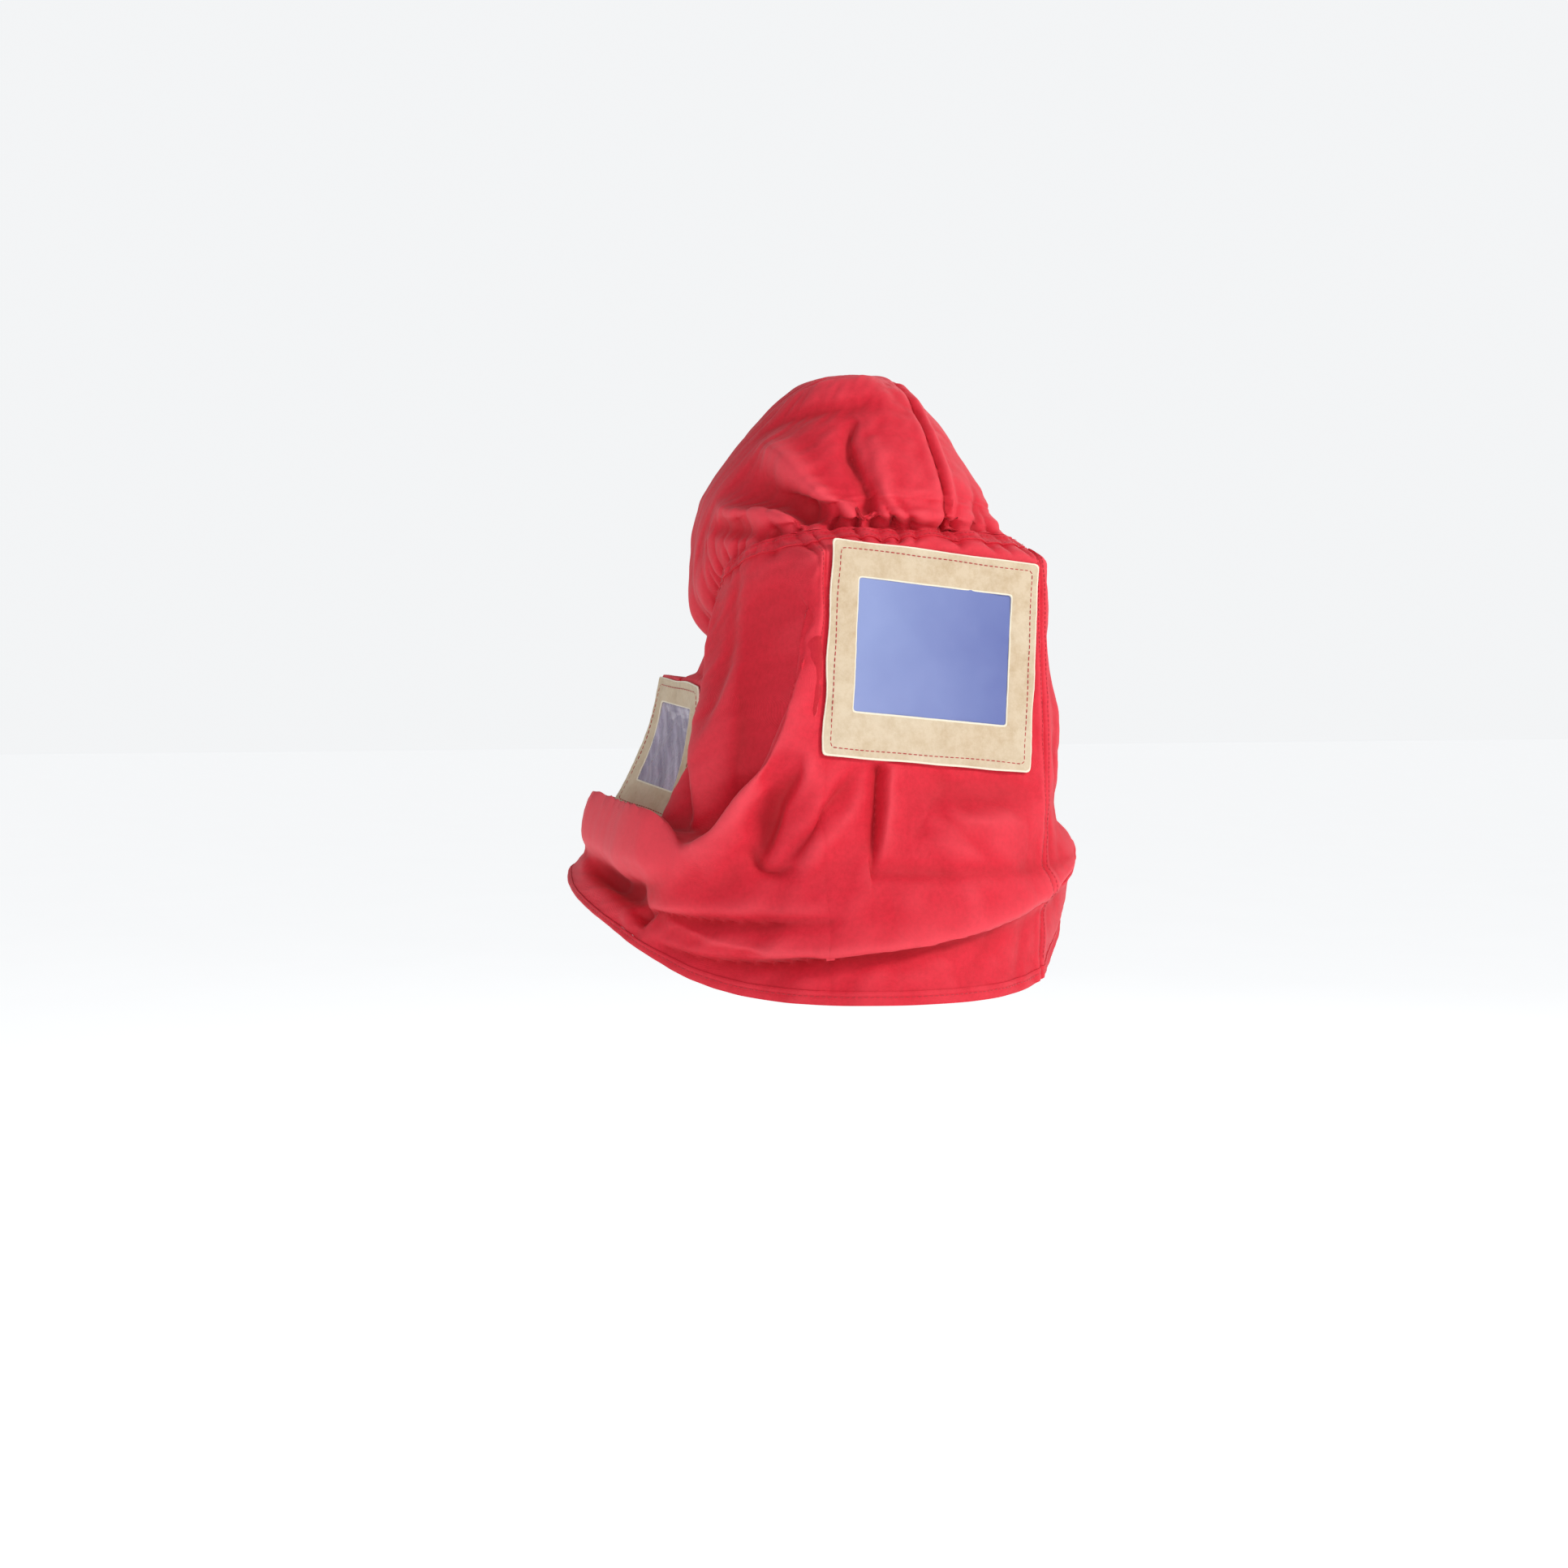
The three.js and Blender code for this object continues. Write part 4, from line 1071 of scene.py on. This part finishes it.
sewing = {
    "length": 0.0034,
    "pitch": 0.0046,
    "thick": 0.00085,
    "sink": 0.00005,
    "belowFrame": 0.0004,
    # thickness and pitch of a seam's stitches and of the casing's, as shares of the frames'
    "seam": (0.7, 0.8),
    "casing": (0.6, 0.8),
    # millimetres from a seam: one row beside the right front seam, two beside the left one, one at the back
    "besideSeams": (-3.4, 3.4, -3.0, -3.2),
    "casingAt": (0.0042, 0.0112),
    "casingLift": 0.0020,
    "hemAt": 0.0070,
    "hemSunk": 0.0005,
}


def stitchShape():
    deselectAll()
    bpy.ops.mesh.primitive_uv_sphere_add(segments=6, ring_count=5, radius=0.5)
    shape = bpy.context.object
    mesh = shape.data
    corners = np.array([v.co[:] for v in mesh.vertices])
    corners[:, 2] = np.sign(corners[:, 2]) * np.abs(corners[:, 2] * 2) ** 0.6 / 2
    faces = [tuple(p.vertices) for p in mesh.polygons]
    bpy.data.objects.remove(shape)
    return corners, faces


stitchCorners, stitchFaces = stitchShape()


# Values at some distances along a line, between rows of values that lie at the distances in run
def rowsAt(distances, run, values):
    return np.stack([np.interp(distances, run, values[:, k]) for k in range(3)], axis=-1)


# Each line is its rows of points and of normals. The stitches run along it and lie on the surface.
def makeStitches(name, lines, thick=1.0, pitch=1.0):
    verts, faces = [], []
    wide = sewing["thick"] * thick
    for line, normals in lines:
        run = lengthsAlong(line, 0)
        count = max(2, int(run[-1] / (sewing["pitch"] * pitch)))
        middles = (np.arange(count) + 0.5) * run[-1] / count
        half = sewing["length"] * pitch / 2
        start, end = rowsAt(middles - half, run, line), rowsAt(middles + half, run, line)
        normal = unit(rowsAt(middles, run, normals))
        forward = unit(end - start)
        side = np.cross(normal, forward)
        middle = (start + end) / 2 + normal * (wide * 0.32 + sewing["sink"])
        length = np.linalg.norm(end - start, axis=1)
        for k in range(count):
            turned = stitchCorners[:, :1] * side[k] * wide
            turned = turned + stitchCorners[:, 1:2] * normal[k] * wide * 0.8
            turned = turned + stitchCorners[:, 2:] * forward[k] * length[k]
            base = len(verts)
            verts.extend((middle[k] + turned).tolist())
            faces.extend([tuple(base + i for i in face) for face in stitchFaces])
    mesh = bpy.data.meshes.new(name)
    mesh.from_pydata(verts, [], faces)
    mesh.update()
    obj = bpy.data.objects.new(name, mesh)
    bpy.context.scene.collection.objects.link(obj)
    activate(obj)
    bpy.ops.object.mode_set(mode="EDIT")
    bpy.ops.mesh.select_all(action="SELECT")
    bpy.ops.mesh.normals_make_consistent(inside=False)
    bpy.ops.object.mode_set(mode="OBJECT")
    bpy.ops.object.shade_smooth_by_angle(angle=60 * degree)
    return obj


def frameLine(window, seed):
    inset = window["stitchIn"]
    t = np.linspace(0, 1, 500)
    wide, high = window["width"] - 2 * inset, window["height"] - 2 * inset
    a, b = roundedOutline(wide, high, max(0.003, frames["outerRound"] - inset), 0, t)
    a = a + 0.0005 * ripple(a * 1000, b * 1000, 70, seed)
    b = b + 0.0005 * ripple(a * 1000, b * 1000, 70, seed + 1)
    height = frames["seat"] + window["wall"] - sewing["belowFrame"]
    height = height + frames["warp"] * ripple(a * 1000, b * 1000, 38, seed)
    return onWindow(window, a, b, height), np.repeat(window["out"][None], t.size, axis=0)


# A line down or round the wall: its points on the outside and their normals
def wallLine(azimuth, along, lift):
    spread = np.array([-0.5, 0, 0.5])
    if np.ptp(along) > 0.1:
        points = panelPoints(azimuth[:, None] + spread, np.repeat(along[:, None], 3, axis=1))
        normals = gridNormals(points)
        return points[:, 1] + normals[:, 1] * lift, normals[:, 1]
    rows = along[None] + spread[:, None] * 0.004
    points = panelPoints(np.repeat(azimuth[None], 3, axis=0), rows)
    normals = gridNormals(points)
    return points[1] + normals[1] * lift, normals[1]


def seamStitches():
    down = np.linspace(0.045, 0.95, 260)
    left = np.interp(down, alongs, leftSeam)
    upper = np.linspace(0.045, walls["rightSeamEnd"] - 0.03, 120)
    right = np.interp(upper, alongs, rightSeam)
    offRight, offLeft, offLeftInner, offBack = (mm / walls["mmPerDegree"] for mm in sewing["besideSeams"])
    lines = [wallLine(right + offRight, upper, 0)]
    lines += [wallLine(left + off, down, 0) for off in (offLeft, offLeftInner)]
    lines += [wallLine(np.full(down.size, 180 + offBack), down, 0)]
    return makeStitches("seamThread", lines, *sewing["seam"])


def roundLine(along, lift):
    return wallLine(np.linspace(-180, 180, 900), np.full(900, along), lift)


hemLine = roundLine(1 - sewing["hemAt"] / hang["length"], hemEdge["proud"] - sewing["hemSunk"])
casingLines = [roundLine(place / hang["length"], sewing["casingLift"]) for place in sewing["casingAt"]]
frontThread = makeStitches("frontThread", [frameLine(frontWindow, 41)])
sideThread = makeStitches("sideThread", [frameLine(sideWindow, 47)])
seamThread = seamStitches()
hemThread = makeStitches("hemThread", [hemLine])
casingThread = makeStitches("casingThread", casingLines, *sewing["casing"])
print("sewing made")


# Materials

# Sets a socket's value, or links it when the value is another node's socket
def feed(tree, socket, value):
    if isinstance(value, bpy.types.NodeSocket):
        tree.links.new(value, socket)
    else:
        socket.default_value = value


# A node group, with the sockets that it is given and the ones that it puts out
def makeGroup(name, given, results):
    group = bpy.data.node_groups.new(name, "ShaderNodeTree")
    for label, value in given.items():
        kind = "NodeSocketColor" if isinstance(value, tuple) else "NodeSocketFloat"
        socket = group.interface.new_socket(name=label, in_out="INPUT", socket_type=kind)
        socket.default_value = value
    for label in results:
        kind = "NodeSocketColor" if label == "Colour" else "NodeSocketFloat"
        group.interface.new_socket(name=label, in_out="OUTPUT", socket_type=kind)
    start = group.nodes.new("NodeGroupInput")
    end = group.nodes.new("NodeGroupOutput")
    start.location = (-900, 0)
    end.location = (900, 0)
    return group, start.outputs, end.inputs


def feedAll(tree, sockets, **values):
    for label, value in values.items():
        feed(tree, sockets[label], value)


def node(tree, kind, place, **values):
    made = tree.nodes.new("ShaderNode" + kind)
    made.location = place
    for key, value in values.items():
        setattr(made, key, value)
    return made


def mathNode(tree, place, operation, *values, clamp=False):
    made = node(tree, "Math", place, operation=operation, use_clamp=clamp)
    for socket, value in zip(made.inputs, values):
        feed(tree, socket, value)
    return made.outputs[0]


# (value - low) times gain, kept between 0 and 1
def above(tree, place, value, low, gain):
    return mathNode(tree, place, "MULTIPLY", mathNode(tree, place, "SUBTRACT", value, low), gain, clamp=True)


def mixColours(tree, place, factor, first, second):
    made = node(tree, "Mix", place, data_type="RGBA", blend_type="MIX")
    for socket, value in ((made.inputs["Factor"], factor), (made.inputs[6], first), (made.inputs[7], second)):
        feed(tree, socket, value)
    return made.outputs[2]


def noiseNode(tree, place, vector, scale, detail=3, roughness=0.55):
    made = node(tree, "TexNoise", place)
    feedAll(tree, made.inputs, Vector=vector, Scale=scale, Detail=detail, Roughness=roughness)
    return made.outputs["Fac"]


def coordinates(tree):
    return node(tree, "TexCoord", (-1100, 0)).outputs


def separated(tree, vector):
    parts = node(tree, "SeparateXYZ", (-900, 0))
    feed(tree, parts.inputs[0], vector)
    return parts.outputs


clothLook = {
    "dye": (0.66, 0.010, 0.028, 1),
    "faded": (0.76, 0.036, 0.068, 1),
    "deep": (0.38, 0.004, 0.010, 1),
    "sheen": 0.10,
    # the next four values paint shade into the cloth's folds and a highlight onto their crests
    "shaded": 0.62,
    "crestPaintedHighlight": 0.5,
    "hollow": (0.30, 0.006, 0.008, 1),
    "crest": (0.92, 0.10, 0.13, 1),
    "threads": 1500.0,
    "twillTurn": 58,
    "ribDark": 0.22,
}
leatherLook = {
    "hide": (0.62, 0.505, 0.36, 1),
    "cut": (0.84, 0.79, 0.65, 1),
    "stain": (0.42, 0.29, 0.16, 1),
    "fibre": (260, 8, 0.8),
    "mottle": (85, 6, 0.75),
    "blotch": (14, 3, 0.5),
    "rim": 0.05,
    "sideRim": 0.06,
}


# Cotton twill: fine diagonal ribs crossed by the yarns, slubs, and slow changes of tone from dye and wear
def makeTwillGroup():
    settings = {name.capitalize(): clothLook[name] for name in ("threads", "dye", "faded", "deep")}
    group, given, results = makeGroup("twillWeave", settings, ("Colour", "Roughness", "Height"))
    coords = coordinates(group)
    turn = node(group, "Mapping", (-700, -200))
    turn.inputs["Rotation"].default_value = (0, 0, clothLook["twillTurn"] * degree)
    feed(group, turn.inputs["Vector"], coords["UV"])
    ribs = node(group, "TexWave", (-500, -200), wave_type="BANDS", bands_direction="X")
    ribScale = mathNode(group, (-700, -450), "MULTIPLY", given["Threads"], 0.32)
    feedAll(group, ribs.inputs, Vector=turn.outputs["Vector"], Scale=ribScale, Distortion=0.6, Detail=1)
    slub = noiseNode(group, (-500, -500), coords["UV"], 700, 4, 0.7)
    wash = noiseNode(group, (-500, 100), coords["Object"], 17, 5, 0.6)
    broad = noiseNode(group, (-500, 350), coords["Object"], 5.5, 3, 0.5)
    speckle = noiseNode(group, (-500, 600), coords["Object"], 260, 3, 0.75)
    tone = mathNode(group, (-300, 200), "MULTIPLY_ADD", wash, 0.7, -0.05)
    faded = mathNode(group, (-100, 300), "MULTIPLY", tone, broad, clamp=True)
    colour = mixColours(group, (100, 300), faded, given["Dye"], given["Faded"])
    dark = mathNode(group, (-300, 600), "SUBTRACT", 0.62, speckle)
    dark = mathNode(group, (-100, 600), "MULTIPLY", dark, 1.1, clamp=True)
    colour = mixColours(group, (300, 300), dark, colour, given["Deep"])
    between = mathNode(group, (-100, -100), "SUBTRACT", 1.0, ribs.outputs["Fac"])
    between = mathNode(group, (100, -100), "MULTIPLY", between, clothLook["ribDark"])
    colour = mixColours(group, (500, 200), between, colour, given["Deep"])
    rough = mathNode(group, (500, -100), "MULTIPLY_ADD", slub, 0.2, 0.55)
    height = mathNode(group, (300, -300), "MULTIPLY_ADD", slub, 0.5, ribs.outputs["Fac"])
    feedAll(group, results, Colour=colour, Roughness=rough, Height=height)
    return group


# Painted shade and painted highlight: darker in the folds and paler on their crests, by how far the place lies
# in a hollow
def makeFoldGroup():
    group, given, results = makeGroup("foldShade", {"Colour": (1, 1, 1, 1), "Hollow": 0.0}, ("Colour",))
    inside = mathNode(group, (-500, -250), "MULTIPLY", given["Hollow"], clothLook["shaded"], clamp=True)
    outside = mathNode(group, (-500, -450), "MULTIPLY", given["Hollow"], -clothLook["crestPaintedHighlight"], clamp=True)
    colour = mixColours(group, (-200, 200), inside, given["Colour"], clothLook["hollow"])
    colour = mixColours(group, (0, 200), outside, colour, clothLook["crest"])
    feedAll(group, results, Colour=colour)
    return group


# Fibrous split leather: mottled tan, with pale cut edges where its UV's second value is near 0 or 1
def makeLeatherGroup():
    settings = {name.capitalize(): leatherLook[name] for name in ("hide", "cut", "stain", "rim")}
    group, given, results = makeGroup("splitLeather", settings, ("Colour", "Roughness", "Height"))
    coords = coordinates(group)
    fibre = noiseNode(group, (-500, 0), coords["Object"], *leatherLook["fibre"])
    mottle = noiseNode(group, (-500, 250), coords["Object"], *leatherLook["mottle"])
    blotch = noiseNode(group, (-500, 500), coords["Object"], *leatherLook["blotch"])
    stained = above(group, (-100, 400), mottle, 0.42, 2.2)
    colour = mixColours(group, (100, 400), stained, given["Hide"], given["Stain"])
    pale = mathNode(group, (100, 600), "MULTIPLY", above(group, (-100, 600), blotch, 0.45, 2.0), 0.5)
    colour = mixColours(group, (300, 400), pale, colour, given["Cut"])
    fromMiddle = mathNode(group, (-600, -300), "SUBTRACT", separated(group, coords["UV"])["Y"], 0.5)
    fromMiddle = mathNode(group, (-500, -300), "ABSOLUTE", fromMiddle)
    ragged = mathNode(group, (-400, -450), "MULTIPLY", fibre, 0.03)
    ragged = mathNode(group, (-300, -300), "ADD", fromMiddle, ragged)
    limit = mathNode(group, (-300, -500), "SUBTRACT", 0.515, given["Rim"])
    colour = mixColours(group, (500, 300), above(group, (-100, -300), ragged, limit, 60), colour, given["Cut"])
    shade = mathNode(group, (300, -50), "MULTIPLY", fibre, 0.35)
    colour = mixColours(group, (700, 300), shade, colour, given["Stain"])
    rough = mathNode(group, (500, -100), "MULTIPLY_ADD", fibre, 0.25, 0.65)
    height = mathNode(group, (500, -300), "ADD", fibre, mottle)
    feedAll(group, results, Colour=colour, Roughness=rough, Height=height)
    return group


def newMaterial(name, sockets):
    material = bpy.data.materials.new(name)
    material.use_nodes = True
    shader = material.node_tree.nodes["Principled BSDF"]
    for label, value in sockets.items():
        shader.inputs[label].default_value = value
    return material, material.node_tree, shader


def placeGroup(tree, group, place=(-500, 0)):
    placed = node(tree, "Group", place)
    placed.node_tree = group
    return placed


def setSurface(tree, shader, colour, rough):
    feed(tree, shader.inputs["Base Color"], colour)
    feed(tree, shader.inputs["Roughness"], rough)


def setBump(tree, shader, height, distance, strength):
    bump = node(tree, "Bump", (-250, -300))
    feedAll(tree, bump.inputs, Strength=strength, Distance=distance, Height=height)
    feed(tree, shader.inputs["Normal"], bump.outputs["Normal"])


twillGroup = makeTwillGroup()
foldGroup = makeFoldGroup()
leatherGroup = makeLeatherGroup()


def makeCloth(name, bumpStrength):
    material, tree, shader = newMaterial(name, {
        "Sheen Weight": clothLook["sheen"],
        "Sheen Roughness": 0.4,
        "Sheen Tint": (1, 0.78, 0.8, 1),
        "Specular IOR Level": 0.26,
    })
    weave = placeGroup(tree, twillGroup).outputs
    # painted shade in the folds and painted highlight on the crests, from the hollow attribute
    hollow = node(tree, "Attribute", (-700, -300), attribute_name="hollow")
    shade = placeGroup(tree, foldGroup, (-200, 200))
    feedAll(tree, shade.inputs, Colour=weave["Colour"], Hollow=hollow.outputs["Fac"])
    setSurface(tree, shader, shade.outputs["Colour"], weave["Roughness"])
    setBump(tree, shader, weave["Height"], 0.00025, bumpStrength)
    return material


def makeLeather(name, rim):
    sockets = {"Sheen Weight": 0.1, "Sheen Roughness": 0.5, "Specular IOR Level": 0.3}
    material, tree, shader = newMaterial(name, sockets)
    hide = placeGroup(tree, leatherGroup)
    hide.inputs["Rim"].default_value = rim
    setSurface(tree, shader, hide.outputs["Colour"], hide.outputs["Roughness"])
    setBump(tree, shader, hide.outputs["Height"], 0.0004, 0.5)
    return material


# Blue tinted sheet, a little paler towards the side window, with faint smears
def makeLensLook():
    material, tree, shader = newMaterial("tintedSheet", {
        "Alpha": 0.86, "IOR": 1.49, "Coat Weight": 0.3, "Coat Roughness": 0.05, "Specular IOR Level": 0.6,
    })
    coords = coordinates(tree)
    slow = noiseNode(tree, (-900, 250), coords["UV"], 16, 3, 0.5)
    smear = noiseNode(tree, (-900, -250), coords["UV"], 60, 5, 0.6)
    across = mathNode(tree, (-700, 0), "MULTIPLY_ADD", separated(tree, coords["UV"])["X"], -5.5, 0.38)
    uneven = mathNode(tree, (-600, 250), "MULTIPLY", slow, 0.5)
    lighter = mathNode(tree, (-500, 0), "ADD", across, uneven, clamp=True)
    colour = mixColours(tree, (-300, 0), lighter, (0.10, 0.13, 0.37, 1), (0.27, 0.33, 0.60, 1))
    setSurface(tree, shader, colour, mathNode(tree, (-300, -250), "MULTIPLY_ADD", smear, 0.22, 0.06))
    return material


# Clear film with streaks along its creases
def makeFilmLook():
    material, tree, shader = newMaterial("crumpledFilm", {
        "Alpha": 0.8, "IOR": 1.49, "Coat Weight": 0.4, "Coat Roughness": 0.12, "Specular IOR Level": 0.6,
    })
    coords = coordinates(tree)
    parts = separated(tree, coords["UV"])
    slanted = node(tree, "CombineXYZ", (-1300, 0))
    feed(tree, slanted.inputs[0], mathNode(tree, (-1500, 100), "MULTIPLY_ADD", parts["X"], 1.3, parts["Y"]))
    feed(tree, slanted.inputs[1], mathNode(tree, (-1500, -100), "MULTIPLY", parts["Y"], 0.22))
    cloud = noiseNode(tree, (-900, 250), slanted.outputs[0], 75, 3, 0.55)
    smear = noiseNode(tree, (-900, -250), coords["Object"], 160, 5, 0.6)
    streaks = above(tree, (-600, 250), cloud, 0.32, 2.4)
    colour = mixColours(tree, (-300, 0), streaks, (0.19, 0.17, 0.26, 1), (0.58, 0.54, 0.68, 1))
    setSurface(tree, shader, colour, mathNode(tree, (-300, -250), "MULTIPLY_ADD", smear, 0.35, 0.12))
    return material


def makeThreadLook(name, dye, deep):
    sockets = {"Sheen Weight": 0.3, "Sheen Roughness": 0.4, "Specular IOR Level": 0.35}
    material, tree, shader = newMaterial(name, sockets)
    twist = noiseNode(tree, (-700, 0), coordinates(tree)["Object"], 900, 3, 0.6)
    rough = mathNode(tree, (-300, -250), "MULTIPLY_ADD", twist, 0.3, 0.5)
    setSurface(tree, shader, mixColours(tree, (-300, 0), twist, deep, dye), rough)
    setBump(tree, shader, twist, 0.0002, 0.4)
    return material


clothMaterial = makeCloth("redTwill", 0.35)
casingMaterial = makeCloth("redTwillCasing", 0.3)
leatherMaterial = makeLeather("tanSplitLeather", leatherLook["rim"])
sideLeatherMaterial = makeLeather("tanSplitLeatherSide", leatherLook["sideRim"])
lensMaterial = makeLensLook()
filmMaterial = makeFilmLook()
clothThread = makeThreadLook("redThread", (0.62, 0.03, 0.05, 1), (0.35, 0.008, 0.015, 1))
frameThread = makeThreadLook("darkRedThread", (0.55, 0.03, 0.04, 1), (0.25, 0.008, 0.012, 1))


def setLook(obj, material):
    obj.data.materials.clear()
    obj.data.materials.append(material)


insides = (rightAllowance, leftAllowance, backAllowance, hemTurn, elasticTape)
for piece in (rightPanel, frontPanel, leftPanel, crownRight, crownLeft, hemCloth, *insides):
    setLook(piece, clothMaterial)
setLook(casingCloth, casingMaterial)
setLook(frontFrame, leatherMaterial)
setLook(sideFrame, sideLeatherMaterial)
setLook(frontPane, lensMaterial)
setLook(sidePane, filmMaterial)
for piece in (seamThread, hemThread, casingThread):
    setLook(piece, clothThread)
for piece in (frontThread, sideThread):
    setLook(piece, frameThread)
print("materials made")


# Stage, lights and camera

studio = {
    "floorAt": -0.95,
    "floorSize": 60,
    "worldColour": (0.86, 0.88, 0.9, 1),
    "worldStrength": 0.46,
    "backdrop": (0.90, 0.91, 0.92, 1),
    "floorGlow": 0.6,
    # name: place, aim, size, watts
    "key": ((1.45, -2.0, 1.15), (0, 0, -0.28), 0.65, 49),
    "fill": ((-1.9, -2.5, 0.2), (0, 0, -0.3), 2.2, 24),
    "rim": ((1.9, 1.6, 1.4), (0, 0, -0.2), 1.6, 16),
}
view = {
    "azimuth": -27,
    "elevation": 2,
    "distance": 2.0,
    "aim": (0, 0, -0.33345),
    "sensor": 36,
    # focal length and shift, as shares of the sensor's width
    "focal": 2963 / 1932,
    "shift": -69 / 1932,
}


def makeLight(name, settings):
    place, aim, size, watts = settings
    deselectAll()
    bpy.ops.object.light_add(type="AREA", location=place)
    light = bpy.context.object
    light.name = name
    light.data.size = size
    light.data.energy = watts
    direction = np.array(aim) - np.array(place)
    light.rotation_mode = "QUATERNION"
    light.rotation_quaternion = Vector(direction).to_track_quat("-Z", "Y")
    return light


def makeStage():
    deselectAll()
    bpy.ops.mesh.primitive_plane_add(size=studio["floorSize"], location=(0, 0, studio["floorAt"]))
    floor = bpy.context.object
    floor.name = "paleFloor"
    material, tree, shader = newMaterial("palePaper", {
        "Roughness": 0.9,
        "Specular IOR Level": 0.1,
        "Emission Color": (1, 1, 1, 1),
        "Emission Strength": studio["floorGlow"],
    })
    grain = noiseNode(tree, (-700, 0), coordinates(tree)["Object"], 3, 2, 0.5)
    colour = mixColours(tree, (-300, 0), grain, (0.78, 0.79, 0.8, 1), (0.82, 0.83, 0.84, 1))
    feed(tree, shader.inputs["Base Color"], colour)
    setLook(floor, material)


# Light from all round, which the camera sees as a plain backdrop
def makeRoom():
    world = bpy.data.worlds.new("softRoom")
    bpy.context.scene.world = world
    world.use_nodes = True
    tree = world.node_tree
    background = tree.nodes["Background"]
    feedAll(tree, background.inputs, Color=studio["worldColour"], Strength=studio["worldStrength"])
    seen = node(tree, "Background", (-200, -150))
    feedAll(tree, seen.inputs, Color=studio["backdrop"])
    path = node(tree, "LightPath", (-200, 300))
    choose = node(tree, "MixShader", (100, 100))
    feed(tree, choose.inputs[0], path.outputs["Is Camera Ray"])
    feed(tree, choose.inputs[1], background.outputs[0])
    feed(tree, choose.inputs[2], seen.outputs[0])
    feed(tree, tree.nodes["World Output"].inputs[0], choose.outputs[0])
    bpy.context.scene.view_settings.view_transform = "Standard"


def makeCamera():
    turned, raised = view["azimuth"] * degree, view["elevation"] * degree
    back = Vector((math.sin(turned) * math.cos(raised), -math.cos(turned) * math.cos(raised), math.sin(raised)))
    deselectAll()
    bpy.ops.object.camera_add(location=Vector(view["aim"]) + view["distance"] * back)
    camera = bpy.context.object
    camera.rotation_euler = (-back).to_track_quat("-Z", "Y").to_euler()
    camera.data.sensor_width = view["sensor"]
    camera.data.lens = view["sensor"] * view["focal"]
    camera.data.shift_x = view["shift"]
    camera.data.clip_end = 200
    bpy.context.scene.camera = camera


makeStage()
makeRoom()
for name in ("key", "fill", "rim"):
    makeLight(name + "Light", studio[name])
makeCamera()
print("stage made")


# What each piece stands for in the frame

dressing = [
    (crownRight, "crown_right", "cloth"),
    (crownLeft, "crown_left", "cloth"),
    (casingCloth, "gather_band", "cloth"),
    (frontPanel, "front_panel", "cloth"),
    (rightPanel, "right_panel", "cloth"),
    (leftPanel, "left_panel", "cloth"),
    (hemCloth, "hem", "cloth"),
    (frontFrame, "front_frame", "frame"),
    (sideFrame, "side_frame", "frame"),
    (frontPane, "front_lens", "lens"),
    (sidePane, "side_film", "film"),
]
for piece, cadNode, slot in dressing:
    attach(piece, "root")
    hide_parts(cadNode)
for piece in (frontThread, sideThread, seamThread, hemThread, casingThread, *insides):
    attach(piece, "root")

for piece, *_ in dressing:
    area = sum(p.area for p in piece.data.polygons) / 2
    triangles = sum(len(p.vertices) - 2 for p in piece.data.polygons)
    print(piece.name, "area each side", round(area, 4), "triangles", triangles)
